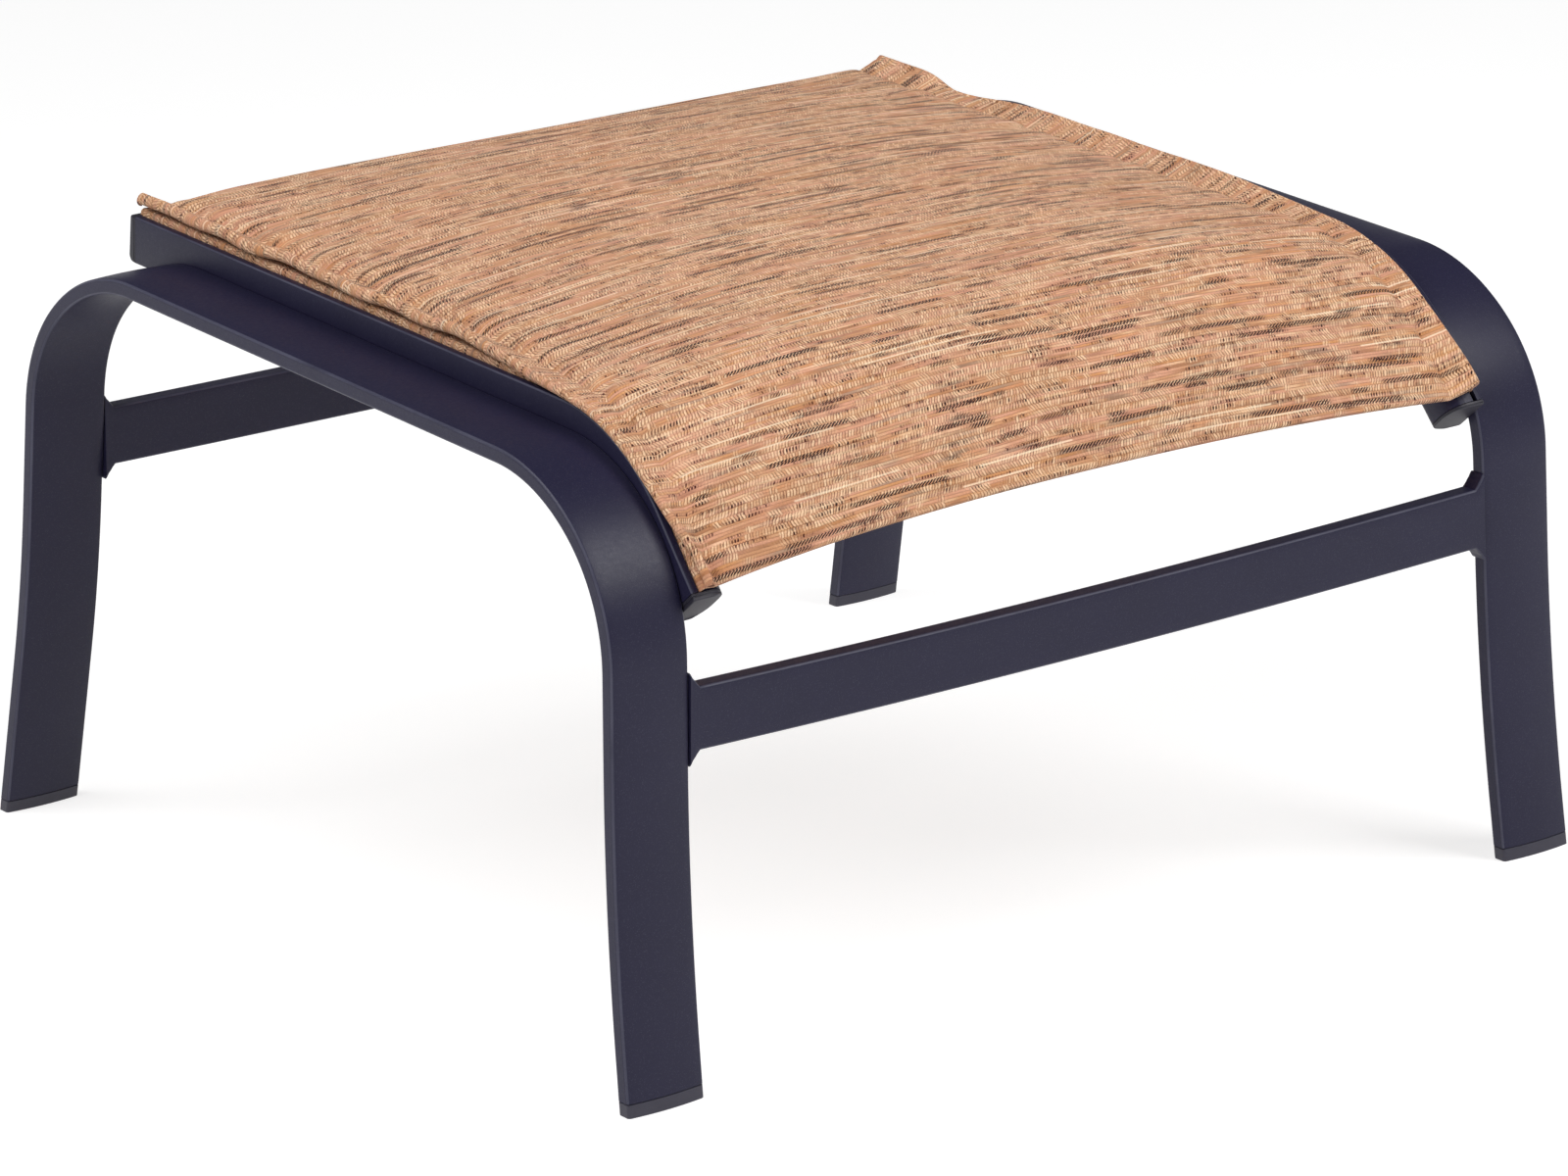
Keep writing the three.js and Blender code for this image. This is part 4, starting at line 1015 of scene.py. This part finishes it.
def button_bolt(name, side, y):
    """Rings round the bolt's axis, which runs along X: a radius for each profile point, where the
    socket's is apothem / cos(angle from the middle of the nearest flat)."""
    z = top_line_z(y) + rail_rise - bolt_depth
    angle = np.linspace(0, 2 * np.pi, bolt_sides, endpoint=False)
    flat = np.mod(angle + np.pi / 6, np.pi / 3) - np.pi / 6
    hexagon = socket_apothem / np.cos(flat)
    dome = [
        (head_flat + (bolt_head - head_flat) * math.cos(a), clearance + bolt_head_height * math.sin(a))
        for a in np.linspace(0, np.pi / 2, 7)
    ]
    reach = rail_width + clearance + bolt_grip
    solid = np.array([
        (bolt_tip, -reach), (bolt_shank, -reach + 0.8 * mm), (bolt_shank, clearance),
        (bolt_head - 0.2 * mm, clearance), *dome,
    ])
    turned = np.repeat(solid[:, :1], bolt_sides, axis=1)
    radius = np.concatenate([turned, [hexagon * 1.08, hexagon, hexagon, hexagon * 0.5]])
    socket = clearance + bolt_head_height - np.array([0, 0.2 * mm, socket_depth, socket_depth + 0.4 * mm])
    along = np.append(solid[:, 1], socket)
    face_x = half_width - rail_inset - rail_width - lean_slope * z
    rings = grid_points(
        side * (face_x - along[:, None]), y + radius * np.cos(angle), z + radius * np.sin(angle)
    )
    return ring_piece(name, rings, [bolt_sides], unit_circle(angle))


def add_ring_map(piece):
    """A UV map whose y is the distance from the bolt's axis and whose x is the angle round it."""
    mesh = piece.data
    co = np.zeros(len(mesh.vertices) * 3)
    mesh.vertices.foreach_get("co", co)
    co = co.reshape(-1, 3)
    yz = co[:, 1:] - (co[:, 1:].min(0) + co[:, 1:].max(0)) / 2
    loops = np.zeros(len(mesh.loops), int)
    mesh.loops.foreach_get("vertex_index", loops)
    uv = grid_points(np.arctan2(yz[:, 1], yz[:, 0]) * bolt_shank, np.hypot(*yz.T))
    mesh.uv_layers.new(name="UVMap").data.foreach_set("uv", uv[loops].ravel())


for word, side in sides.items():
    for place, y in zip(("rear", "middle", "front"), np.linspace(bolt_rear_y, bolt_front_y, 3)):
        bolt = button_bolt(f"{word}_{place}_button_bolt", side, float(y))
        add_ring_map(bolt)
        finish_piece(bolt, steel, "bolt_steel", f"{word}_{place}_rail_bolt")
    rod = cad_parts[f"{word}_spline_rod"]
    rod.data.materials.clear()
    rod.data.materials.append(rod_plastic)

# %% [markdown]
# ## The padded sling
# The sling is a bag of two cloths with foam between them. Along each rail its edge is rolled into a welt,
# a valley is sewn inside the welt, and from there the padding rises to a low crown. The bottom cloth
# carries on into the rail's slot. All layers share one way of placing a point: a distance along the rail,
# an inset from the rail's outer face and a height square to the rail. So a change to the rail moves them
# all, and no layer can cut another. The pad is never quite centred: over the front bend its left crease
# is sewn nearer to the rail than its right one.

# %% Placing a point of the sling
crease_inset, hem_arch = 25 * mm, 8 * mm
sling_start, sling_end = 3 * mm, rail_length - 0.8 * mm
cover_thickness, panel_thickness = 1.5 * mm, 1.4 * mm
panel_lift = 1.9 * mm
crease_lift = panel_lift + panel_thickness / 2 + clearance + cover_thickness
crown_middle, front_hem_rise, rear_hem_rise = 17 * mm, 6 * mm, 4.4 * mm
left_crease_shift, front_corner_reach, rear_corner_reach = 10 * mm, 4.4 * mm, 1.8 * mm
front_corner_pull, full_pull_inset = 3.2 * mm, 5 * mm
rear_hem_tilt = 1.6 * mm


def smooth_step(value, low, high):
    """0 below low, 1 above high and 3 x ** 2 - 2 x ** 3 between them."""
    x = np.clip((value - low) / (high - low), 0, 1)
    return x * x * (3 - 2 * x)


def bell(x):
    """1 at 0, and fading to both sides: exp(-x ** 2)."""
    return np.exp(-(x**2))


def middle_inset(s):
    """Inset of the seat's middle line from the rail's outer face, at the rail's height."""
    point, _ = rail_path(s)
    return half_width - rail_inset - lean_slope * point[..., 1]


def crease_at(side, s):
    """Inset of the sewn crease, less by the shift over the left side's front bend."""
    shift = left_crease_shift if side < 0 else 0
    return crease_inset - shift * (1 - smooth_step(s, 120 * mm, 250 * mm))


def across_share(inset, middle, crease):
    """0 at the crease and 1 in the middle of the seat."""
    return np.clip((inset - crease) / (middle - crease), 0, 1)


def along_share(s):
    return (s - sling_start) / (sling_end - sling_start)


def place_sling(inset, height, s, side):
    """Points of the sling. The hems are drawn in by arch * (1 - (1 - across) ** 2) * (1 - 2 t) along the
    rail. The left corners reach on a little, and the right front one is drawn back outside its crease.
    Then y and z step off the path by the height, and x falls evenly from the rail to the middle."""
    s = s[:, None]
    middle = middle_inset(s)
    across = across_share(inset, middle, crease_at(side, s))
    t = along_share(s)
    reach = rear_corner_reach * t**10 - front_corner_reach * (1 - t) ** 10
    drawn = hem_arch * (1 - (1 - across) ** 2) * (1 - 2 * t) + (side < 0) * (1 - across) ** 3 * reach
    beyond_crease = np.clip((crease_inset - inset) / (crease_inset - full_pull_inset), 0, 1)
    drawn = drawn + (side > 0) * front_corner_pull * beyond_crease * (1 - t) ** 10
    point, heading = rail_path(s + drawn)
    y = point[..., 0] - np.sin(heading) * height
    z = point[..., 1] + np.cos(heading) * height
    x = (half_width - rail_inset - lean_slope * z) * (1 - inset / middle)
    return grid_points(side * x, y, z)


def crown_share(t):
    """0 at both hems and 1 along the middle of the seat: 1 - |2 t - 1| ** 3."""
    return 1 - np.abs(2 * t - 1) ** 3


def pillow_share(across):
    """Rise of the padding, steepest next to the crease: 1 - (1 - across) ** 3.2."""
    return 1 - (1 - across) ** 3.2


def hem_rise(t):
    return front_hem_rise + (rear_hem_rise - front_hem_rise) * t


def hem_tilt(side, t, across):
    """The rear hem stands a little higher on the left and lower on the right, and even in the middle."""
    return -side * rear_hem_tilt * t**8 * pillow_share(across) * (1 - across)


print("cover from", round(sling_start / mm, 1), "to", round(sling_end / mm, 1), "mm along the rail")

# %% [markdown]
# ## The rolled edge
# Outside the crease the cover ends in a rolled edge. Along the straight rail it stands up, with a narrow
# gap over the strip of cloth that comes out of the slot. Over the bend it would have to stretch, so it
# lies down: on the left it slips out over the rail's edge, on the right it is pulled in over the slot,
# and there it slumps once more near the rear. A roll is a circle, so its state is three numbers, and along
# the rail they blend from one state to another.

# %% Rolled edge
edge_standing = {-1: np.array([6.0, 9.6, 3.6]) * mm, 1: np.array([7.6, 7.7, 3.2]) * mm}
edge_lying = {-1: np.array([0.8, 2.7, 2.4]) * mm, 1: np.array([9.3, 3.6, 1.7]) * mm}
edge_at_tip = {-1: np.array([1.8, -1.2, -0.5]) * mm, 1: np.array([0.7, 0.9, 0.0]) * mm}
lying_from_to = {-1: np.array([6, 78, 132, 240]) * mm, 1: np.array([5, 70, 105, 262]) * mm}
slump_station, slump_to_front, slump_to_rear = rail_length - 82 * mm, 46 * mm, 21 * mm


def lie_share(side, s):
    """How far the edge lies down, 0 to 1: a smooth step up along the rail times a smooth step down. On
    the right it also slumps once near the rear, by a bell with its own reach to each end."""
    start, full, still, end = lying_from_to[side]
    slump_reach = np.where(s < slump_station, slump_to_front, slump_to_rear)
    slump = (side > 0) * bell((s - slump_station) / slump_reach)
    return np.maximum(smooth_step(s, start, full) * (1 - smooth_step(s, still, end)), slump)


def rolled_edge(side, s):
    """Inset, height and radius of the roll's middle: the standing state and the lying one blended by the
    lie share, and a small change at the front tip."""
    lie = lie_share(side, s)[..., None]
    tip = (1 - smooth_step(s, 15 * mm, 60 * mm))[..., None] * (1 - lie)
    state = edge_standing[side] * (1 - lie) + edge_lying[side] * lie + edge_at_tip[side] * tip
    return state[..., 0], state[..., 1], state[..., 2]


for word, side in sides.items():
    lying_down = lie_share(side, np.linspace(sling_start, sling_end, 400)) > 0.5
    print(f"{word} edge lies down on {lying_down.mean():.0%} of its length")

# %% [markdown]
# ## Wrinkles of the cover
# A sewn pad is never even. Along the crease the stitches gather the cloth, so short folds run from the
# valley a little way up the padding, the standing edge leans in and out, and over the bend a few deeper
# puckers open like a V. The folds are sums of a few waves whose lengths don't divide each other, so they
# never look regular. They differ from side to side because the waves' phases do.

# %% Fold, sway and pucker functions
fold_lengths = np.array([23, 31, 41, 67]) * mm
sway_lengths = np.array([58, 87, 141]) * mm
fold_size, fold_reach, fold_centre, fold_spread = 1.4 * mm, 45 * mm, 90 * mm, 90 * mm
phase_source = np.random.default_rng(7)
fold_phases, sway_phases = (
    dict(zip((-1, 1), phase_source.uniform(0, 2 * np.pi, (2, len(lengths)))))
    for lengths in (fold_lengths, sway_lengths)
)
pucker_stations = {-1: np.array([38, 86, 137, 190]) * mm, 1: np.array([52, 108, 171]) * mm}
pucker_depth = {-1: np.array([2.6, 2.8, 2.3, 1.3]) * mm, 1: np.array([1.6, 1.9, 1.3]) * mm}


def waves(s, lengths, phases):
    """Mean of sine waves along s, from -1 to 1."""
    return np.sin(2 * np.pi * s[..., None] / lengths + phases).mean(-1)


def fold_height(side, into, s):
    """Folds beside the crease: waves along the rail times a hump that peaks 9 mm inside the crease and
    fades over 45 mm, stronger over the front bend."""
    inside = np.clip(into / fold_reach, 0, 1)
    hump_shape = 4 * np.sqrt(inside) * (1 - inside) ** 2
    front = 1 + bell((s - fold_centre) / fold_spread)
    return fold_size * hump_shape * front * waves(s, fold_lengths, fold_phases[side])


def pucker_height(side, into, s):
    """V-shaped dips: depth * bell(distance / width), where the width grows with the distance from
    the crease and the depth fades over 40 mm."""
    width = (3 * mm + 0.20 * into)[..., None]
    distance = (s + 0 * into)[..., None] - pucker_stations[side]
    dips = (pucker_depth[side] * bell(distance / width)).sum(-1)
    return -dips * smooth_step(into, 0, 5 * mm) * (1 - smooth_step(into, 8 * mm, 42 * mm))


print("fold phases of the left side, radians:", fold_phases[-1].round(2))

# %% Cover section as half sections on a grid
stations = np.concatenate([
    sling_start + np.array([0, 0.15, 0.5, 1.0, 1.6, 2.4]) * mm,
    np.linspace(sling_start + 5 * mm, sling_end - 5 * mm, 222),
    sling_end - np.array([2.4, 1.6, 1.0, 0.5, 0.15, 0]) * mm,
])
hem_radius = 1.6 * mm


def hem_drop(s):
    """How far the top surface comes down at a hem, as a quarter circle: r - sqrt(r ** 2 - (r - d) ** 2)
    at a distance d from the edge."""
    d = np.clip(np.minimum(s - sling_start, sling_end - s), 0, hem_radius)
    return hem_radius - np.sqrt(hem_radius**2 - (hem_radius - d) ** 2)


roll_turn = np.radians(np.linspace(-90, 90, 15))
flange_share = np.linspace(0, 1, 22)[1:]
seat_share = np.linspace(0, 1, 70)[1:] ** 1.3
turn_in = 12 * mm
seam_lip, lip_place = 2.0 * mm, 13 * mm
edge_sway = {-1: 1.5 * mm, 1: 0.8 * mm}
groove_depth, groove_width, ditch_depth, ditch_width = 0.8 * mm, 1.1 * mm, 0.9 * mm, 3.2 * mm


def cover_half(side):
    """Upper and lower insets and heights of the cover's half section, on the grid [station, column]: the
    roll's outer half circle, the flange falling to the crease by 1 - (1 - share) ** 1.6 with a stitched
    groove beside the roll, and the padding, with a lip x * exp(1 - x) beside the crease, where x is the
    distance from it over the lip's place."""
    s = stations[:, None]
    t = along_share(s)
    middle = middle_inset(s)
    crease = crease_at(side, s)
    lie = lie_share(side, s)
    centre, centre_height, radius = rolled_edge(side, s)
    roll_top, roll_low = centre_height + radius, centre_height - radius
    roll_inset = centre - radius * np.cos(roll_turn)
    roll_height = centre_height + radius * np.sin(roll_turn)
    flange_inset = centre + (crease - centre) * flange_share
    flange_height = roll_top - (roll_top - crease_lift) * (1 - (1 - flange_share) ** 1.6)
    beside_roll = (flange_inset - centre - 0.9 * radius) / groove_width
    flange_height = flange_height - groove_depth * bell(beside_roll) * (1 - flange_share)
    seat_inset = crease + (middle - crease) * seat_share
    into = seat_inset - crease
    rise = hem_rise(t) + (crown_middle - hem_rise(t)) * crown_share(t)
    seat_height = crease_lift + rise * pillow_share(seat_share) + hem_tilt(side, t, seat_share)
    seat_height = seat_height + fold_height(side, into, s) + pucker_height(side, into, s)
    lip = seam_lip * into / lip_place * np.exp(1 - into / lip_place) * (1 - np.abs(2 * t - 1) ** 24)
    seat_height = np.maximum(seat_height + lip, crease_lift - 0.1 * mm)
    top_inset = np.concatenate([roll_inset, flange_inset, seat_inset], axis=1)
    upper_height = np.concatenate([roll_height, flange_height, seat_height], axis=1)
    low_roll = centre + (turn_in - centre) * np.linspace(0.03, 1, len(roll_turn))
    low_flange = turn_in + (crease - turn_in) * flange_share
    standing = np.concatenate([0 * low_roll, flange_share**1.2 + 0 * s], axis=1)
    low_edge = np.concatenate([low_roll, low_flange], axis=1)
    change = (1 - lie) * standing + lie * smooth_step(low_edge, centre, centre + 2.8 * mm)
    low_edge_height = roll_low + (crease_lift - cover_thickness - roll_low) * change
    low_inset = np.concatenate([low_edge, seat_inset], axis=1)
    low_height = np.concatenate([low_edge_height, seat_height - cover_thickness], axis=1)
    ditch = ditch_depth * bell((top_inset - crease) / ditch_width)
    sway = edge_sway[side] * waves(s, sway_lengths, sway_phases[side]) * (1 - lie)
    edge = centre - radius
    near_top = np.clip(1 - (top_inset - edge) / (crease - edge), 0, 1)
    near_low = np.clip(1 - (low_inset - edge) / (crease - edge), 0, 1)
    top_inset = top_inset + sway * near_top
    low_inset = low_inset + sway * near_low
    upper_height = upper_height - ditch + 0.9 * sway * near_top - np.minimum(hem_drop(s), 1.2 * mm)
    low_height = low_height + 0.9 * sway * near_low
    return top_inset, upper_height, low_inset, low_height


# %% Cover piece
def mirror_join(left, right):
    """One grid across the seat: the left half from its edge to the middle, then the right half back."""
    return np.concatenate([left, right[:, -2::-1]], axis=1)


def rolled_share(grid, edge_columns):
    """For each column of a grid: 1 at both edges and 0 from the edge columns on, over four columns."""
    number = np.arange(grid.shape[1])
    return np.clip((edge_columns - np.minimum(number, number[::-1])) / 4, 0, 1)


def surface_map(points):
    """A UV map in metres for a grid: x is the arc length across the seat, counted from the middle
    column, and y is the arc length along the middle column."""
    steps = np.linalg.norm(np.diff(points, axis=1), axis=2)
    u = np.concatenate([np.zeros((len(points), 1)), np.cumsum(steps, axis=1)], axis=1)
    u -= u[:, u.shape[1] // 2][:, None]
    down = np.linalg.norm(np.diff(points[:, points.shape[1] // 2], axis=0), axis=1)
    return grid_points(u, np.append(0, np.cumsum(down))[:, None])


halves = {side: cover_half(side) for side in (-1, 1)}
top_grid, low_grid = (
    mirror_join(*[place_sling(*halves[k][face: face + 2], stations, k) for k in (-1, 1)]) for face in (0, 2)
)
top_map = surface_map(top_grid)
cover_rolled = rolled_share(top_grid, len(roll_turn) + 6)
cover = layer_piece("padded_sling_cover", top_grid, low_grid, top_map, cover_rolled, crease_degrees=60)
finish_piece(cover, cloth, "woven_cover", "sling_top_cover")
print("cover across, m:", round(float(np.ptp(top_map[..., 0])), 4))

# %% [markdown]
# ## Under panel
# The carrying cloth lies flat on the rails' inner lips, hangs a little between them and comes up to the
# cover at both hems, where the two are sewn together. At each side it turns down through the slot's neck
# to the rod, with a soft fold beside the slot where nothing presses it down. Its middle line is a curve,
# and the cloth's two faces are that curve moved by half the thickness to either side.

# %% Under panel
def offset_curve(inset, height, distance):
    """A grid of half sections moved square to themselves: (inset, height) + distance * (-dh, di) / length."""
    di = np.gradient(inset, axis=1)
    dh = np.gradient(height, axis=1)
    length = np.hypot(di, dh)
    return inset - distance * dh / length, height + distance * di / length


def panel_middle_height(s, across):
    t = along_share(s)
    change = hem_rise(t) * np.abs(2 * t - 1) ** 24 - panel_thickness * crown_share(t)
    return panel_lift + change * pillow_share(across)


strip_end = -(slot_bore_depth - (slot_bore_radius - 0.6 * mm) - clearance)
panel_bend = 1.8 * mm
strip_fold, strip_pull = 0.9 * mm, 1.0 * mm


def panel_change(side, s, inset):
    """Change of the panel's height over the rail: a fold beside the slot where the edge stands, and less
    height, by strip_pull, where the edge lies down."""
    lie = lie_share(side, s)
    fold = strip_fold * (1 - lie) * (1 - smooth_step(inset, 7.8 * mm, 15 * mm))
    return fold - strip_pull * lie * (1 - smooth_step(inset, 15 * mm, 45 * mm))


panel_share = seat_share[::2]


def panel_half(side):
    """Insets and heights of the panel's middle line, on the grid [station, column]: up the slot, round a
    quarter circle, over the rail to the crease, and across the seat."""
    s = stations[:, None]
    middle, crease = middle_inset(s), crease_at(side, s)
    at_slot = panel_lift + panel_change(side, s, slot_centre)
    strip_h = strip_end + (at_slot - panel_bend - strip_end) * np.linspace(0, 1, 9)
    turn = np.linspace(0, np.pi / 2, 6)[1:]
    bend_i = slot_centre + panel_bend * (1 - np.cos(turn)) + 0 * s
    bend_h = at_slot - panel_bend + panel_bend * np.sin(turn)
    flat_i = slot_centre + panel_bend + (crease - slot_centre - panel_bend) * np.linspace(0, 1, 12)[1:]
    seat_i = crease + (middle - crease) * panel_share
    flat_h = panel_lift + panel_change(side, s, flat_i)
    seat_h = panel_middle_height(s, panel_share) + panel_change(side, s, seat_i)
    seat_h = seat_h + hem_tilt(side, along_share(s), panel_share)
    inset = np.concatenate([slot_centre + 0 * strip_h, bend_i, flat_i, seat_i], axis=1)
    return inset, np.concatenate([strip_h, bend_h, flat_h, seat_h], axis=1)


panel_lines = {k: panel_half(k) for k in (-1, 1)}
panel_top, panel_low = (
    mirror_join(*[place_sling(*offset_curve(*panel_lines[k], distance), stations, k) for k in (-1, 1)])
    for distance in (panel_thickness / 2, -panel_thickness / 2)
)
panel_map = surface_map(panel_top)
panel_rolled = rolled_share(panel_top, 20)
panel = layer_piece("sling_under_cloth", panel_top, panel_low, panel_map, panel_rolled, crease_degrees=60)
finish_piece(panel, panel_cloth, "sling_mesh", "sling_under_panel")

# %% [markdown]
# ## Foam core
# The foam fills the space between the two cloths, short of the crease and of both hems. Its faces are
# the cloths' facing surfaces, moved in by the clearance.

# %% Foam core
foam_first_share, foam_hem_gap = 0.08, 16 * mm
foam_columns = seat_share > foam_first_share
foam_rows = (stations > sling_start + foam_hem_gap) & (stations < sling_end - foam_hem_gap)


def foam_faces(side):
    _, _, inset, upper = (grid[foam_rows, -len(seat_share):][:, foam_columns] for grid in halves[side])
    upper = upper - clearance
    across = seat_share[foam_columns]
    s = stations[foam_rows]
    lower = panel_middle_height(s[:, None], across) + panel_thickness / 2 + clearance
    return place_sling(inset, upper, s, side), place_sling(inset, lower, s, side)


foam_top, foam_low = (mirror_join(a, b) for a, b in zip(foam_faces(-1), foam_faces(1)))
foam = layer_piece("sling_foam_sheet", foam_top, foam_low)
finish_piece(foam, foam_finish, "foam", "sling_foam_core")

# %% [markdown]
# ## Floor, light and camera
# A plain pale floor and soft studio light show the object without colouring it. The room is white near
# the horizon and dim above, as in a studio with a low backdrop, so that the top faces of dark paint stay
# dark. A large soft panel at the front right is the main light, a second hangs over the left side, and a
# weak one fills from the left. To the camera and in reflections the floor is half lit and half glowing, so
# that it reads as white and still keeps the object's shadow. The camera stands where the photograph was
# taken. Its direction, roll and lens come from fitting the known sizes to the feet, bends and tube edges.

# %% Floor
floor_half, floor_glow = 14.0, 0.76
floor_mesh = bpy.data.meshes.new("studio_floor")
floor_corners = [(x * floor_half, y * floor_half, 0) for x, y in ((-1, -1), (1, -1), (1, 1), (-1, 1))]
floor_mesh.from_pydata(floor_corners, [], [(0, 1, 2, 3)])
floor = bpy.data.objects.new("studio_floor", floor_mesh)
bpy.context.scene.collection.objects.link(floor)
floor_finish, floor_shader = new_finish("pale_floor", Roughness=0.9, Specular_IOR_Level=0.1)
floor_tone = blend_colour(noise(own_place(), 1.5), (0.90, 0.90, 0.90), (0.94, 0.94, 0.94))
rays = add_node("ShaderNodeLightPath").outputs
seen = maths(
    "MAXIMUM", rays["Is Camera Ray"], maths("MAXIMUM", rays["Is Glossy Ray"], rays["Is Transmission Ray"])
)
floor_shader.inputs["Emission Color"].default_value = (1, 1, 1, 1)
link(times(seen, floor_glow), floor_shader.inputs["Emission Strength"])
half_lit = blend_colour(times(seen, 0.5), floor_tone, (0.0, 0.0, 0.0))
link(half_lit, floor_shader.inputs["Base Color"])
floor.data.materials.append(floor_finish)
print("floor, m:", 2 * floor_half, "square")

# %% World and lamps
world = bpy.data.worlds.new("studio_world")
bpy.context.scene.world = world
world.use_nodes = True
bench["tree"] = world.node_tree
world.node_tree.nodes.clear()
upward = parts_of(own_place("Generated"))[2]
white_below, dim_above, dim_strength = 0.05, 0.17, 0.12
room_strength = scaled(ramp_up(upward, white_below, dim_above), dim_strength - 1, 1.0)
room = add_node("ShaderNodeBackground", {"Color": (1, 1, 1, 1), "Strength": room_strength})
add_node("ShaderNodeOutputWorld", {0: room.outputs[0]})


def softbox(name, place, aim, size, power):
    """A square lamp at a place that faces the aim point; power in watts."""
    data = bpy.data.lights.new(name, "AREA")
    data.shape = "SQUARE"
    data.size = size
    data.energy = power
    lamp = bpy.data.objects.new(name, data)
    lamp.location = place
    lamp.rotation_euler = (Vector(aim) - Vector(place)).to_track_quat("-Z", "Y").to_euler()
    bpy.context.scene.collection.objects.link(lamp)
    print(f"{name}: {power} W, {size} m square")


seat_middle = (0, 0, 0.25)
softbox("key_softbox", (1.35, -2.0, 2.45), seat_middle, 1.5, 61)
softbox("top_softbox", (-1.7, 0.3, 2.9), seat_middle, 2.0, 58)
softbox("left_softbox", (-3.2, -1.2, 1.4), seat_middle, 1.6, 20)

# %% Camera
camera_place = Vector((-2.3202, -3.1646, 1.3847))
azimuth, elevation, roll = (math.radians(a) for a in (36.396, 17.488, -1.283))
back = Vector((
    -math.sin(azimuth) * math.cos(elevation), -math.cos(azimuth) * math.cos(elevation), math.sin(elevation)
))
level_right = (-back).cross(Vector((0, 0, 1))).normalized()
level_up = level_right.cross(-back)
right = level_right * math.cos(roll) + level_up * math.sin(roll)
up = level_up * math.cos(roll) - level_right * math.sin(roll)
lens = bpy.data.cameras.new("photo_camera")
lens.sensor_fit = "HORIZONTAL"
lens.sensor_width = 36.0
lens.lens = 160.54
lens.clip_end = 60.0
camera = bpy.data.objects.new("photo_camera", lens)
turned = Matrix((right, up, back)).transposed().to_4x4()
camera.matrix_world = Matrix.Translation(camera_place) @ turned
bpy.context.scene.collection.objects.link(camera)
bpy.context.scene.camera = camera
bpy.context.scene.view_settings.view_transform = "Standard"
print("camera at", [round(c, 3) for c in camera_place], "with a lens of", round(lens.lens, 2), "mm")
